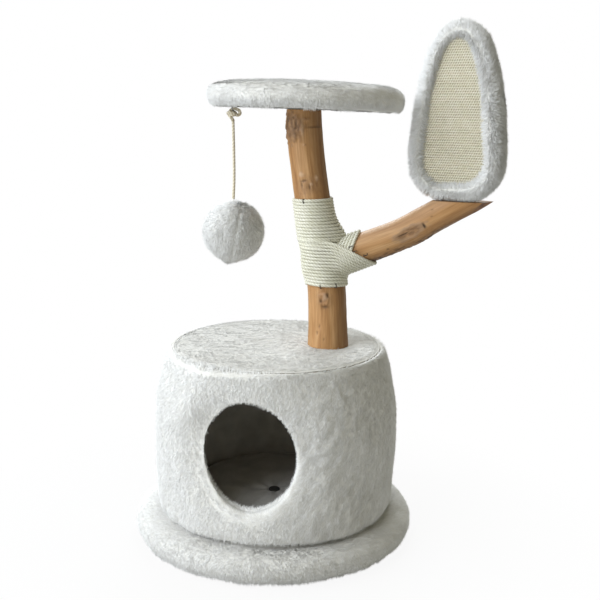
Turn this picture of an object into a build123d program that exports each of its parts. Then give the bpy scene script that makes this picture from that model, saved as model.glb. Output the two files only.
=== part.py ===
"""A cat tree: padded base, round house, rope-wound log with a branch, perch, scratcher and toy.

The origin is the middle of the underside of the base. +Z is up and the doorway faces -Y.
The log, the branch and the toy's cord lie in the plane y = 0.
"""

import os
from math import acos, cos, pi, radians, sin, sqrt

from build123d import *

os.makedirs("parts", exist_ok=True)

# Fits and cloth, in millimetres
gap = 0.3
plush = 4.0
hole_margin = 0.2
thread_margin = 0.1
log_margin = 0.6
cut_over = 1.0

# Base
base_radius = 240.0
base_height = 52.0
base_low_round = 18.0
base_high_round = 24.0
base_hem_radius = 198.0
base_board_radius = 206.0
base_board_thickness = 18.0

# House
house_foot_radius = 201.0
house_belly_radius = 211.0
house_belly_height = 185.0
house_shoulder_radius = 193.0
house_shoulder_height = 308.0
house_top = 334.0
seam_radius = 176.0
house_bend_share = 0.75
house_bend_drop = 8.0
piping_radius = 2.4
piping_drop = 1.0
wall_thickness = 5.0
lining_thickness = 2.7
house_floor_thickness = 9.0
house_floor_clear = 2.0
roof_board_thickness = 12.0
roof_board_inset = 2.0
roof_crown = 3.0
doorway_x = -12.0
doorway_height = 193.0
doorway_half_width = 79.0
doorway_half_height = 87.5
doorway_lean = 6.0
doorway_binding = 3.7

# Screws between base and house
screw_circle_radius = 120.0
screw_count = 4
screw_radius = 2.2
screw_head_radius = 4.4
screw_head_height = 3.0
screw_head_recess = 0.4
screw_tip_cover = 2.0

# Cushion
cushion_radius = 150.0
cushion_low_radius = 125.0
cushion_crown_radius = 84.0
cushion_seam_rise = 13.0
cushion_thickness = 36.0
tuft_x = 8.0
tuft_y = -54.0
tuft_radius = 10.0
tuft_spread = 28.0
tuft_depth = 11.0
tuft_cut_over = 2.0
button_radius = 9.5
button_thickness = 3.6
button_round = 2.2

# Log: middle line and radius from foot to top, as (x, z, radius)
trunk_line = (
    (89.0, 330.0, 35.0),
    (88.0, 372.0, 33.0),
    (86.0, 420.0, 32.0),
    (79.0, 478.0, 31.0),
    (69.0, 520.0, 30.3),
    (58.5, 584.0, 29.0),
    (50.0, 640.0, 29.0),
    (44.5, 690.0, 28.7),
    (42.0, 752.0, 28.3),
)
trunk_ends = ((0.0, 0.0, 1.0), (-0.03, 0.0, 1.0))
trunk_slices = 18

# Branch: middle line and radius from root to tip, as (x, z, radius)
branch_line = (
    (70.0, 474.0, 27.5),
    (110.0, 489.0, 27.0),
    (150.0, 505.0, 26.3),
    (204.5, 527.6, 25.4),
    (253.5, 555.7, 25.2),
    (302.0, 583.5, 25.0),
    (352.0, 612.0, 25.0),
)
branch_slices = 14
seat_height = 585.0
branch_tip_x = 347.0
branch_tip_normal = (0.62, 0.2, -0.76)

# Rope
rope_diameter = 5.5
rope_seat = 0.5
rope_low = 437.0
rope_high = 583.0
rope_turns = 22
collar_turns = 4
collar_side = (46.0, 72.0)
collar_top = (59.0, 87.0)
collar_bottom = (48.0, 91.0)
rope_staple_wire = 1.1
rope_staple_crown = 7.0
rope_staple_leg = 14.0

# Places of the rope's staples, with angles from the log's left or the branch's top round by the front:
# on the log as (height, angle), on the branch as (distance from its root, angle)
log_staples = ((582.0, 72.0), (513.0, 130.0), (442.0, 82.0), (441.0, 124.0))
branch_staples = ((66.0, 68.0), (69.0, 85.0), (84.0, 108.0))

# Bolts
bolt_radius = 4.0
bolt_in_log = 40.0
bolt_end_show = 2.0
nut_across_flats = 13.0
nut_height = 6.5
washer_radius = 10.0
washer_thickness = 1.6
branch_bolt_radius = 3.0
branch_bolt_low = -10.0
branch_bolt_high = 84.0

# Perch
perch_x = 43.5
perch_low = 728.0
perch_tilt = 1.7
perch_radius = 162.5
perch_rim_height = 38.0
perch_crown = 9.0
perch_low_round = 14.0
perch_high_round = 20.0
perch_hem_radius = 140.0
perch_board_radius = 147.0
perch_board_thickness = 12.0
pronged_nut_barrel = 5.2
pronged_nut_length = 9.0

# Scratcher: an egg outline of tangent arcs, flat at its foot
scratcher_x = 292.0
scratcher_yaw = 20.0
scratcher_foot_half = 22.0
scratcher_corner = 57.0
scratcher_brow_half = 44.0
scratcher_brow_height = 249.0
scratcher_thickness = 46.0
scratcher_rim_width = 23.0
scratcher_rim_round = 17.0
scratcher_lip_round = 5.0
scratcher_groove = 10.0
scratcher_board_thickness = 9.0
scratcher_board_middle = 5.0
scratcher_mat_thickness = 6.0
scratcher_back_thickness = 15.0
dowel_radius = 2.5
dowel_spread = 22.0
dowel_in_branch = 20.0
dowel_in_board = 42.0

# Hanging toy
toy_x = -75.7
staple_bar_height = 724.0
staple_radius = 1.0
staple_half_width = 7.0
staple_bend = 3.0
staple_top = 746.0
loop_radius = 5.0
loop_cord_radius = 2.0
knot_height = 712.5
knot_radius = 5.0
cord_radius = 2.5
ball_height = 524.0
ball_radius = 53.5
ball_plush = 3.5

# Heights that follow from the sizes above
house_low = base_height + gap
house_floor_top = house_low + house_floor_thickness
wall_radius_in = seam_radius - wall_thickness
lining_radius_in = wall_radius_in - gap - lining_thickness
above_house = house_top + 10.0
roof_board_high = house_top - plush - gap
roof_board_low = roof_board_high - roof_board_thickness
wall_high = roof_board_low - gap
cushion_low = house_floor_top + gap
rope_radius = rope_diameter / 2
trunk_foot = (trunk_line[0][0], trunk_line[0][1])
perch_place = Plane(
    origin=(perch_x, 0, perch_low),
    x_dir=(cos(radians(perch_tilt)), 0, -sin(radians(perch_tilt))),
    z_dir=(sin(radians(perch_tilt)), 0, cos(radians(perch_tilt))),
)


# Shapes used by several pieces

def round_block(place, radius, low, high):
    """A plain cylinder between two heights above a plane."""
    with BuildPart() as block:
        with BuildSketch(place.offset(low)):
            Circle(radius)
        extrude(amount=high - low)
    return block.part


def padded_disc(place, radius, low, high, low_round, high_round, crown):
    """A disc with a rounded rim and a top that rises by the crown towards the middle."""
    half_place = Plane(origin=place.origin, x_dir=place.x_dir, z_dir=-place.y_dir)
    with BuildPart() as disc:
        with BuildSketch(half_place):
            with BuildLine():
                Polyline((0, high + crown), (0, low), (radius, low), (radius, high))
                if crown > 0:
                    TangentArc((0, high + crown), (radius, high), tangent=(1, 0))
                else:
                    Line((radius, high), (0, high))
            make_face()
            rim = vertices().group_by(Axis.X)[-1].sort_by(Axis.Y)
            fillet(rim[-1], high_round)
            rim = vertices().group_by(Axis.X)[-1].sort_by(Axis.Y)
            fillet(rim[0], low_round)
        revolve(axis=Axis(place.origin, place.z_dir))
    return disc.part


def barrel(inset):
    """The whole inside of the house's outer face, drawn in by an inset."""
    foot = (house_foot_radius - inset, house_low)
    belly = (house_belly_radius - inset, house_belly_height)
    shoulder = (house_shoulder_radius - inset, house_shoulder_height)
    bend_out = seam_radius + house_bend_share * (shoulder[0] - seam_radius)
    bend = (bend_out, house_top - inset - house_bend_drop)
    with BuildPart() as body:
        with BuildSketch(Plane.XZ):
            with BuildLine():
                Line((0, house_low), foot)
                ThreePointArc(foot, belly, shoulder)
                ThreePointArc(shoulder, bend, (seam_radius, house_top - inset))
                Polyline((seam_radius, house_top - inset), (0, house_top - inset), (0, house_low))
            make_face()
        revolve(axis=Axis.Z)
    return body.part


def doorway(margin):
    """A bar with the doorway's oval section, which leans to the left, out through the front."""
    with BuildPart() as bar:
        with BuildSketch(Plane.XZ):
            with Locations((doorway_x, doorway_height)):
                Ellipse(doorway_half_width + margin, doorway_half_height + margin, rotation=doorway_lean)
        extrude(amount=base_radius)
    return bar.part


def upright_screws(margin):
    """The four countersunk screws, or with a margin the holes they need."""
    low = plush + gap + screw_head_recess
    tip = house_floor_top - screw_tip_cover + margin
    with BuildPart() as screws:
        with PolarLocations(screw_circle_radius, screw_count, start_angle=45):
            with Locations((0, 0, low)):
                Cone(screw_head_radius + margin, screw_radius + margin, screw_head_height,
                     align=(Align.CENTER, Align.CENTER, Align.MIN))
                Cylinder(screw_radius + margin, tip - low, align=(Align.CENTER, Align.CENTER, Align.MIN))
    return screws.part


def radius_at(line, height):
    """The log's radius at a height, straight between the stations of its line."""
    for (x_low, z_low, r_low), (x_high, z_high, r_high) in zip(line, line[1:]):
        if height <= z_high:
            share = max(0.0, (height - z_low) / (z_high - z_low))
            return r_low + share * (r_high - r_low)
    return line[-1][2]


def log(axis, line, slices, extra):
    """A round log along an axis curve, grown by an extra thickness."""
    with BuildPart() as body:
        for step in range(slices + 1):
            share = step / slices
            middle = axis @ share
            with BuildSketch(Plane(origin=middle, x_dir=(0, 1, 0), z_dir=axis % share)):
                Circle(radius_at(line, middle.Z) + extra)
        loft()
    return body.part


def share_at(axis, height):
    """Where along an axis curve a height is reached, as a share of its length."""
    low, high = 0.0, 1.0
    for _ in range(40):
        middle = (low + high) / 2
        if (axis @ middle).Z < height:
            low = middle
        else:
            high = middle
    return low


def winding_way(point, turn):
    """The direction of a winding's middle line after a number of turns."""
    small_turn = 0.001
    return (point(turn + small_turn) - point(turn - small_turn)).normalized()


def winding_ends(point, turns):
    """A winding's start and end points with the straight runs that lead into and out of it."""
    first, last = point(0), point(turns)
    into, out = winding_way(point, 0), winding_way(point, turns)
    return first - into * rope_diameter, first, last, last + out * rope_diameter


def winding_arcs(point, turns):
    """Pairs of tangent arcs, one pair for each quarter turn, as (start, tangent, end)."""
    quarters = round(turns * 4)
    arcs = []
    for quarter in range(quarters):
        start, end = point(quarter / 4), point((quarter + 1) / 4)
        before = winding_way(point, quarter / 4)
        after = winding_way(point, (quarter + 1) / 4)
        chord = end - start
        both = chord.dot(before + after)
        spread = 2 * (1 - before.dot(after))
        reach = (sqrt(both * both + spread * chord.dot(chord)) - both) / spread
        knee_low, knee_high = start + before * reach, end - after * reach
        joint = (knee_low + knee_high) * 0.5
        arcs.append((start, before, joint))
        arcs.append((joint, (knee_high - knee_low).normalized(), end))
    return arcs


def least_gap(name, point, turns):
    """Measure a winding's least gap to itself and its tightest bend on points, and print them."""
    per_turn = 72
    points = [point(step / per_turn) for step in range(int(turns * per_turn) + 1)]
    least = min(
        (points[later] - points[step]).length
        for step in range(len(points))
        for later in range(step + per_turn // 2, min(step + 2 * per_turn, len(points)))
    )
    bend = min(
        (points[step + 1] - points[step - 1]).length / 2
        / max(1e-9, acos(min(1.0, (points[step + 1] - points[step]).normalized().dot(
            (points[step] - points[step - 1]).normalized()))))
        for step in range(1, len(points) - 1)
    )
    print(f"{name}: least gap to itself {least - rope_diameter:.2f} mm, tightest bend {bend:.1f} mm")


# Base

screw_holes = upright_screws(hole_margin)
base_outside = padded_disc(Plane.XY, base_radius, 0, base_height, base_low_round, base_high_round, 0)
base_inside = padded_disc(
    Plane.XY, base_radius - plush, plush, base_height - plush,
    base_low_round - plush, base_high_round - plush, 0,
)
base_filling = padded_disc(
    Plane.XY, base_radius - plush - gap, plush + gap, base_height - plush - gap,
    base_low_round - plush - gap, base_high_round - plush - gap, 0,
)
base_board_low = plush + gap
base_board_high = base_board_low + base_board_thickness

with BuildPart() as base_underlay:
    add(round_block(Plane.XY, base_hem_radius - gap, 0, plush))
base_underlay.part.label = "base_underlay"
export_step(base_underlay.part, "parts/base_underlay.step")

with BuildPart() as base_board:
    add(round_block(Plane.XY, base_board_radius, base_board_low, base_board_high))
    add(screw_holes, mode=Mode.SUBTRACT)
base_board.part.label = "base_board"
export_step(base_board.part, "parts/base_board.step")

with BuildPart() as base_foam:
    add(base_filling)
    add(round_block(Plane.XY, base_board_radius + gap, 0, base_board_high + gap), mode=Mode.SUBTRACT)
    add(screw_holes, mode=Mode.SUBTRACT)
base_foam.part.label = "base_foam"
export_step(base_foam.part, "parts/base_foam.step")

with BuildPart() as base_cover:
    add(base_outside)
    add(base_inside, mode=Mode.SUBTRACT)
    add(round_block(Plane.XY, base_hem_radius, 0, plush), mode=Mode.SUBTRACT)
    add(screw_holes, mode=Mode.SUBTRACT)
base_cover.part.label = "base_cover"
export_step(base_cover.part, "parts/base_cover.step")

with BuildPart() as floor_screws:
    add(upright_screws(0))
floor_screws.part.label = "floor_screws"
export_step(floor_screws.part, "parts/floor_screws.step")

# House

doorway_hole = doorway(doorway_binding + gap)
house_inside = round_block(Plane.XY, lining_radius_in, 0, above_house)
wall_space = round_block(Plane.XY, seam_radius + gap, 0, above_house)

with BuildPart() as piping_space:
    with Locations((0, 0, house_top - piping_drop)):
        Torus(seam_radius, piping_radius + gap)

with BuildPart() as house_floor:
    add(round_block(Plane.XY, lining_radius_in - house_floor_clear, house_low, house_floor_top))
    add(screw_holes, mode=Mode.SUBTRACT)
house_floor.part.label = "house_floor"
export_step(house_floor.part, "parts/house_floor.step")

with BuildPart() as house_wall:
    add(round_block(Plane.XY, seam_radius, house_low, wall_high))
    add(round_block(Plane.XY, wall_radius_in, 0, above_house), mode=Mode.SUBTRACT)
    add(doorway_hole, mode=Mode.SUBTRACT)
house_wall.part.label = "house_wall"
export_step(house_wall.part, "parts/house_wall.step")

with BuildPart() as house_foam:
    add(barrel(plush + gap))
    add(wall_space, mode=Mode.SUBTRACT)
    add(doorway_hole, mode=Mode.SUBTRACT)
house_foam.part.label = "house_foam"
export_step(house_foam.part, "parts/house_foam.step")

with BuildPart() as house_cover:
    add(barrel(0))
    add(barrel(plush), mode=Mode.SUBTRACT)
    add(round_block(Plane.XY, seam_radius, 0, above_house), mode=Mode.SUBTRACT)
    add(piping_space.part, mode=Mode.SUBTRACT)
    add(doorway_hole, mode=Mode.SUBTRACT)
house_cover.part.label = "house_cover"
export_step(house_cover.part, "parts/house_cover.step")

with BuildPart() as house_lining:
    add(round_block(Plane.XY, wall_radius_in - gap, house_low, wall_high))
    add(house_inside, mode=Mode.SUBTRACT)
    add(doorway_hole, mode=Mode.SUBTRACT)
house_lining.part.label = "house_lining"
export_step(house_lining.part, "parts/house_lining.step")

with BuildPart() as doorway_trim:
    add(doorway(doorway_binding))
    add(doorway(0), mode=Mode.SUBTRACT)
    add(barrel(0), mode=Mode.INTERSECT)
    add(house_inside, mode=Mode.SUBTRACT)
doorway_trim.part.label = "doorway_trim"
export_step(doorway_trim.part, "parts/doorway_trim.step")

with BuildPart() as roof_board:
    add(round_block(Plane.XY, seam_radius - roof_board_inset, roof_board_low, roof_board_high))
    with BuildSketch(Plane.XY.offset(roof_board_high)):
        with Locations((trunk_foot[0], 0)):
            Circle(bolt_radius + gap)
    extrude(amount=-roof_board_thickness, mode=Mode.SUBTRACT)
roof_board.part.label = "roof_board"
export_step(roof_board.part, "parts/roof_board.step")

with BuildPart() as roof_cover:
    with BuildSketch(Plane.XZ):
        with BuildLine():
            Polyline((0, house_top + roof_crown), (0, roof_board_high + gap),
                     (seam_radius - gap, roof_board_high + gap), (seam_radius - gap, house_top))
            TangentArc((0, house_top + roof_crown), (seam_radius - gap, house_top), tangent=(1, 0))
        make_face()
    revolve(axis=Axis.Z)
    add(piping_space.part, mode=Mode.SUBTRACT)
    with BuildSketch(Plane.XY.offset(roof_board_high)):
        with Locations((trunk_foot[0], 0)):
            Circle(trunk_line[0][2] + log_margin)
    extrude(amount=above_house - roof_board_high, mode=Mode.SUBTRACT)
roof_cover.part.label = "roof_cover"
export_step(roof_cover.part, "parts/roof_cover.step")

with BuildPart() as roof_piping:
    with Locations((0, 0, house_top - piping_drop)):
        Torus(seam_radius, piping_radius)
roof_piping.part.label = "roof_piping"
export_step(roof_piping.part, "parts/roof_piping.step")

# Cushion

cushion_seam = cushion_low + cushion_seam_rise
cushion_high = cushion_low + cushion_thickness
tuft_height = cushion_high - tuft_depth
tuft_top = cushion_high + tuft_cut_over
tuft_place = Plane(origin=(tuft_x, tuft_y, 0), x_dir=(1, 0, 0), z_dir=(0, -1, 0))

with BuildPart() as house_cushion:
    with BuildSketch(Plane.XZ):
        with BuildLine():
            Line((0, cushion_low), (cushion_low_radius, cushion_low))
            TangentArc((cushion_low_radius, cushion_low), (cushion_radius, cushion_seam), tangent=(1, 0))
            TangentArc((cushion_crown_radius, cushion_high), (cushion_radius, cushion_seam), tangent=(1, 0))
            Polyline((cushion_crown_radius, cushion_high), (0, cushion_high), (0, cushion_low))
        make_face()
    revolve(axis=Axis.Z)
    with BuildSketch(tuft_place):
        with BuildLine():
            TangentArc((tuft_spread, cushion_high), (tuft_radius, tuft_height), tangent=(-1, 0))
            Polyline((tuft_radius, tuft_height), (0, tuft_height), (0, tuft_top))
            Polyline((0, tuft_top), (tuft_spread, tuft_top), (tuft_spread, cushion_high))
        make_face()
    revolve(axis=Axis(tuft_place.origin, (0, 0, 1)), mode=Mode.SUBTRACT)
house_cushion.part.label = "house_cushion"
export_step(house_cushion.part, "parts/house_cushion.step")

with BuildPart() as cushion_button:
    with BuildSketch(Plane.XY.offset(tuft_height + gap)):
        with Locations((tuft_x, tuft_y)):
            Circle(button_radius)
    extrude(amount=button_thickness)
    fillet(edges().group_by(Axis.Z)[-1], button_round)
cushion_button.part.label = "cushion_button"
export_step(cushion_button.part, "parts/cushion_button.step")

# Log and branch

trunk_axis = Spline(*[(x, 0, z) for x, z, r in trunk_line], tangents=trunk_ends)
branch_axis = Spline(*[(x, 0, z) for x, z, r in branch_line])
branch_root = branch_axis @ 0
branch_way = branch_axis % 0
bolt_place = Plane(origin=branch_root, x_dir=(0, 1, 0), z_dir=branch_way)
scratcher_front = (-sin(radians(scratcher_yaw)), -cos(radians(scratcher_yaw)), 0)
scratcher_place = Plane(
    origin=(scratcher_x, 0, seat_height + gap),
    x_dir=(cos(radians(scratcher_yaw)), -sin(radians(scratcher_yaw)), 0),
    z_dir=scratcher_front,
)


def dowel_pair(margin):
    """The two upright dowel screws under the scratcher, or with a margin their holes."""
    pair_place = Plane(
        origin=scratcher_place.from_local_coords((0, -dowel_in_branch - margin, scratcher_board_middle)),
        x_dir=scratcher_place.x_dir,
        z_dir=(0, 0, 1),
    )
    with BuildPart() as pair:
        with BuildSketch(pair_place):
            with Locations((-dowel_spread, 0), (dowel_spread, 0)):
                Circle(dowel_radius + margin)
        extrude(amount=dowel_in_branch + dowel_in_board + 2 * margin)
    return pair.part


foot_bolt_place = Plane(origin=(trunk_foot[0], 0, trunk_foot[1]))
nut_high = roof_board_low - gap - washer_thickness - gap
bolt_drop = trunk_foot[1] - (nut_high - nut_height - bolt_end_show)
dowel_holes = dowel_pair(hole_margin)
perch_bolt_low = -bolt_in_log
perch_bolt_high = plush + gap + perch_board_thickness + washer_thickness + bolt_end_show

with BuildPart() as trunk:
    add(log(trunk_axis, trunk_line, trunk_slices, 0))
    split(bisect_by=perch_place.offset(plush), keep=Keep.BOTTOM)
    add(round_block(foot_bolt_place, bolt_radius + thread_margin, -cut_over, bolt_in_log + cut_over),
        mode=Mode.SUBTRACT)
    add(round_block(perch_place, bolt_radius + thread_margin, perch_bolt_low - cut_over, plush + cut_over),
        mode=Mode.SUBTRACT)
    add(round_block(bolt_place, branch_bolt_radius + thread_margin, branch_bolt_low - cut_over,
                    branch_bolt_high), mode=Mode.SUBTRACT)
trunk.part.label = "trunk"
export_step(trunk.part, "parts/trunk.step")

with BuildPart() as trunk_bolt:
    add(round_block(foot_bolt_place, bolt_radius, -bolt_drop, bolt_in_log))
trunk_bolt.part.label = "trunk_bolt"
export_step(trunk_bolt.part, "parts/trunk_bolt.step")

with BuildPart() as trunk_washer:
    with BuildSketch(Plane.XY.offset(roof_board_low - gap)):
        with Locations((trunk_foot[0], 0)):
            Circle(washer_radius)
            Circle(bolt_radius + gap, mode=Mode.SUBTRACT)
    extrude(amount=-washer_thickness)
trunk_washer.part.label = "trunk_washer"
export_step(trunk_washer.part, "parts/trunk_washer.step")

with BuildPart() as trunk_nut:
    with BuildSketch(Plane.XY.offset(nut_high)):
        with Locations((trunk_foot[0], 0)):
            RegularPolygon(nut_across_flats / 2, 6, major_radius=False)
            Circle(bolt_radius + thread_margin, mode=Mode.SUBTRACT)
    extrude(amount=-nut_height)
trunk_nut.part.label = "trunk_nut"
export_step(trunk_nut.part, "parts/trunk_nut.step")

tip_plane = Plane(origin=(branch_tip_x, 0, seat_height), z_dir=branch_tip_normal)

with BuildPart() as branch:
    add(log(branch_axis, branch_line, branch_slices, 0))
    add(log(trunk_axis, trunk_line, trunk_slices, rope_seat + rope_diameter + 2 * gap), mode=Mode.SUBTRACT)
    split(bisect_by=Plane.XY.offset(seat_height), keep=Keep.BOTTOM)
    split(bisect_by=tip_plane, keep=Keep.BOTTOM)
    add(round_block(bolt_place, branch_bolt_radius + thread_margin, 0, branch_bolt_high + cut_over),
        mode=Mode.SUBTRACT)
    add(dowel_holes, mode=Mode.SUBTRACT)
branch.part.label = "branch"
export_step(branch.part, "parts/branch.step")

with BuildPart() as branch_bolt:
    add(round_block(bolt_place, branch_bolt_radius, branch_bolt_low, branch_bolt_high))
branch_bolt.part.label = "branch_bolt"
export_step(branch_bolt.part, "parts/branch_bolt.step")

# Rope on the log

rope_start = share_at(trunk_axis, rope_low)
rope_end = share_at(trunk_axis, rope_high)


def trunk_rope_point(turn):
    """A point on the middle line of the rope round the log, after a number of turns."""
    share = rope_start + (rope_end - rope_start) * turn / rope_turns
    middle, way = trunk_axis @ share, trunk_axis % share
    side = Vector(-way.Z, 0, way.X)
    reach = radius_at(trunk_line, middle.Z) + rope_seat + rope_radius
    angle = 2 * pi * turn
    return middle + side * (reach * cos(angle)) + Vector(0, -1, 0) * (reach * sin(angle))


lead_in, first, last, lead_out = winding_ends(trunk_rope_point, rope_turns)
with BuildPart() as trunk_rope:
    with BuildLine():
        Line(lead_in, first)
        for start, way, end in winding_arcs(trunk_rope_point, rope_turns):
            TangentArc(start, end, tangent=way)
        Line(last, lead_out)
    with BuildSketch(Plane(origin=lead_in, z_dir=first - lead_in)):
        Circle(rope_radius)
    sweep()
trunk_rope.part.label = "trunk_rope"
export_step(trunk_rope.part, "parts/trunk_rope.step")
least_gap("trunk_rope", trunk_rope_point, rope_turns)

# Rope on the branch root: each turn lies nearer the log at its sides than at its top and bottom

branch_length = branch_axis.length


def collar_point(turn):
    """A point on the middle line of the rope collar, after a number of turns."""
    share = turn / collar_turns
    angle = 2 * pi * turn
    rise = sin(angle)
    side = collar_side[0] + share * (collar_side[1] - collar_side[0])
    top = collar_top[0] + share * (collar_top[1] - collar_top[0])
    bottom = collar_bottom[0] + share * (collar_bottom[1] - collar_bottom[0])
    along = side + (top - side) * max(0.0, rise) ** 2 + (bottom - side) * max(0.0, -rise) ** 2
    middle, way = branch_axis @ (along / branch_length), branch_axis % (along / branch_length)
    up = Vector(-way.Z, 0, way.X)
    reach = radius_at(branch_line, middle.Z) + rope_seat + rope_radius
    return middle + up * (reach * rise) + Vector(0, -1, 0) * (reach * cos(angle))


lead_in, first, last, lead_out = winding_ends(collar_point, collar_turns)
with BuildPart() as branch_rope:
    with BuildLine():
        Line(lead_in, first)
        for start, way, end in winding_arcs(collar_point, collar_turns):
            TangentArc(start, end, tangent=way)
        Line(last, lead_out)
    with BuildSketch(Plane(origin=lead_in, z_dir=first - lead_in)):
        Circle(rope_radius)
    sweep()
branch_rope.part.label = "branch_rope"
export_step(branch_rope.part, "parts/branch_rope.step")
least_gap("branch_rope", collar_point, collar_turns)


# Staples across the rope's turns, with their legs in the wood


def staple_plane(axis, share, line, turn):
    """A plane on the rope's outside, facing out from a log, with its X direction along the log."""
    middle, way = axis @ share, axis % share
    side = Vector(-way.Z, 0, way.X)
    away = side * cos(radians(turn)) + Vector(0, -1, 0) * sin(radians(turn))
    reach = radius_at(line, middle.Z) + rope_seat + rope_diameter - rope_staple_wire
    return Plane(origin=middle + away * reach, x_dir=way, z_dir=away)


staple_planes = [staple_plane(trunk_axis, share_at(trunk_axis, height), trunk_line, turn)
                 for height, turn in log_staples]
staple_planes += [staple_plane(branch_axis, distance / branch_length, branch_line, turn)
                  for distance, turn in branch_staples]
with BuildPart() as rope_staples:
    for plane in staple_planes:
        with BuildSketch(plane):
            Rectangle(rope_staple_crown, rope_staple_wire)
        extrude(amount=rope_staple_wire)
        with BuildSketch(plane):
            with GridLocations(rope_staple_crown - rope_staple_wire, 0, 2, 1):
                Rectangle(rope_staple_wire, rope_staple_wire)
        extrude(amount=-rope_staple_leg)
rope_staples.part.label = "rope_staples"
export_step(rope_staples.part, "parts/rope_staples.step")

# Perch

perch_board_low = plush + gap
perch_board_high = perch_board_low + perch_board_thickness
perch_nut_high = perch_board_high + gap + washer_thickness
perch_outside = padded_disc(
    perch_place, perch_radius, 0, perch_rim_height, perch_low_round, perch_high_round, perch_crown)
perch_inside = padded_disc(
    perch_place, perch_radius - plush, plush, perch_rim_height - plush,
    perch_low_round - plush, perch_high_round - plush, perch_crown)
perch_filling = padded_disc(
    perch_place, perch_radius - plush - gap, plush + gap, perch_rim_height - plush - gap,
    perch_low_round - plush - gap, perch_high_round - plush - gap, perch_crown)
trunk_space = log(trunk_axis, trunk_line, trunk_slices, log_margin)


def staple(radius):
    """The wire staple that the cord's loop hangs on, or with a wider wire its holes."""
    with BuildPart() as wire:
        with BuildLine():
            FilletPolyline(
                (toy_x, -staple_half_width, staple_top),
                (toy_x, -staple_half_width, staple_bar_height),
                (toy_x, staple_half_width, staple_bar_height),
                (toy_x, staple_half_width, staple_top),
                radius=staple_bend,
            )
        with BuildSketch(Plane(origin=(toy_x, -staple_half_width, staple_top), z_dir=(0, 0, -1))):
            Circle(radius)
        sweep()
    return wire.part


staple_holes = staple(staple_radius + hole_margin)

with BuildPart() as perch_underlay:
    add(round_block(perch_place, perch_hem_radius - gap, 0, plush))
    add(trunk_space, mode=Mode.SUBTRACT)
    add(staple_holes, mode=Mode.SUBTRACT)
perch_underlay.part.label = "perch_underlay"
export_step(perch_underlay.part, "parts/perch_underlay.step")

with BuildPart() as perch_board:
    add(round_block(perch_place, perch_board_radius, perch_board_low, perch_board_high))
    add(round_block(perch_place, pronged_nut_barrel + hole_margin, 0, perch_board_high + cut_over),
        mode=Mode.SUBTRACT)
    add(staple_holes, mode=Mode.SUBTRACT)
perch_board.part.label = "perch_board"
export_step(perch_board.part, "parts/perch_board.step")

with BuildPart() as perch_foam:
    add(perch_filling)
    add(round_block(perch_place, perch_board_radius + gap, 0, perch_board_high + gap), mode=Mode.SUBTRACT)
    add(round_block(perch_place, washer_radius + cut_over, 0, perch_bolt_high + cut_over),
        mode=Mode.SUBTRACT)
perch_foam.part.label = "perch_foam"
export_step(perch_foam.part, "parts/perch_foam.step")

with BuildPart() as perch_cover:
    add(perch_outside)
    add(perch_inside, mode=Mode.SUBTRACT)
    add(round_block(perch_place, perch_hem_radius, 0, plush), mode=Mode.SUBTRACT)
perch_cover.part.label = "perch_cover"
export_step(perch_cover.part, "parts/perch_cover.step")

with BuildPart() as perch_bolt:
    add(round_block(perch_place, bolt_radius, perch_bolt_low, perch_bolt_high))
perch_bolt.part.label = "perch_bolt"
export_step(perch_bolt.part, "parts/perch_bolt.step")

with BuildPart() as perch_nut:
    add(round_block(perch_place, washer_radius, perch_board_high + gap, perch_nut_high))
    add(round_block(perch_place, pronged_nut_barrel, perch_board_high - pronged_nut_length, perch_nut_high))
    add(round_block(perch_place, bolt_radius + thread_margin, 0, perch_bolt_high + cut_over),
        mode=Mode.SUBTRACT)
perch_nut.part.label = "perch_nut"
export_step(perch_nut.part, "parts/perch_nut.step")

# Scratcher

def egg(inset, low, high):
    """A slab with the egg outline drawn in by an inset, between two depths."""
    foot = (scratcher_foot_half, 0)
    widest = (scratcher_foot_half + scratcher_corner, scratcher_corner)
    brow = (scratcher_brow_half, scratcher_brow_height)
    with BuildPart() as slab:
        with BuildSketch(scratcher_place.offset(low)):
            with BuildLine():
                Line((0, 0), foot)
                TangentArc(foot, widest, tangent=(1, 0))
                side = TangentArc(widest, brow, tangent=(0, 1))
                mirror(about=Plane.YZ)
                TangentArc(brow, (-scratcher_brow_half, scratcher_brow_height), tangent=side % 1)
            make_face()
            if inset > 0:
                offset(amount=-inset, mode=Mode.REPLACE)
        extrude(amount=high - low)
    return slab.part


board_low = scratcher_board_middle - scratcher_board_thickness / 2
board_high = scratcher_board_middle + scratcher_board_thickness / 2
half_thickness = scratcher_thickness / 2
mat_low = board_high + gap
front_axis = Axis((0, 0, 0), scratcher_front)

with BuildPart() as scratcher_rim:
    add(egg(0, -half_thickness, half_thickness))
    faces_across = faces().filter_by(front_axis).sort_by(front_axis)
    fillet(faces_across[0].edges() + faces_across[-1].edges(), scratcher_rim_round)
    add(egg(scratcher_rim_width, -half_thickness - cut_over, half_thickness + cut_over), mode=Mode.SUBTRACT)
    faces_across = faces().filter_by(front_axis).sort_by(front_axis)
    fillet(faces_across[-1].inner_wires().edges(), scratcher_lip_round)
    add(egg(scratcher_groove, board_low - gap, board_high + gap), mode=Mode.SUBTRACT)
    add(dowel_holes, mode=Mode.SUBTRACT)
scratcher_rim.part.label = "scratcher_rim"
export_step(scratcher_rim.part, "parts/scratcher_rim.step")

with BuildPart() as scratcher_board:
    add(egg(scratcher_groove + gap, board_low, board_high))
    add(dowel_holes, mode=Mode.SUBTRACT)
scratcher_board.part.label = "scratcher_board"
export_step(scratcher_board.part, "parts/scratcher_board.step")

with BuildPart() as scratcher_mat:
    add(egg(scratcher_rim_width + gap, mat_low, mat_low + scratcher_mat_thickness))
scratcher_mat.part.label = "scratcher_mat"
export_step(scratcher_mat.part, "parts/scratcher_mat.step")

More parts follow.
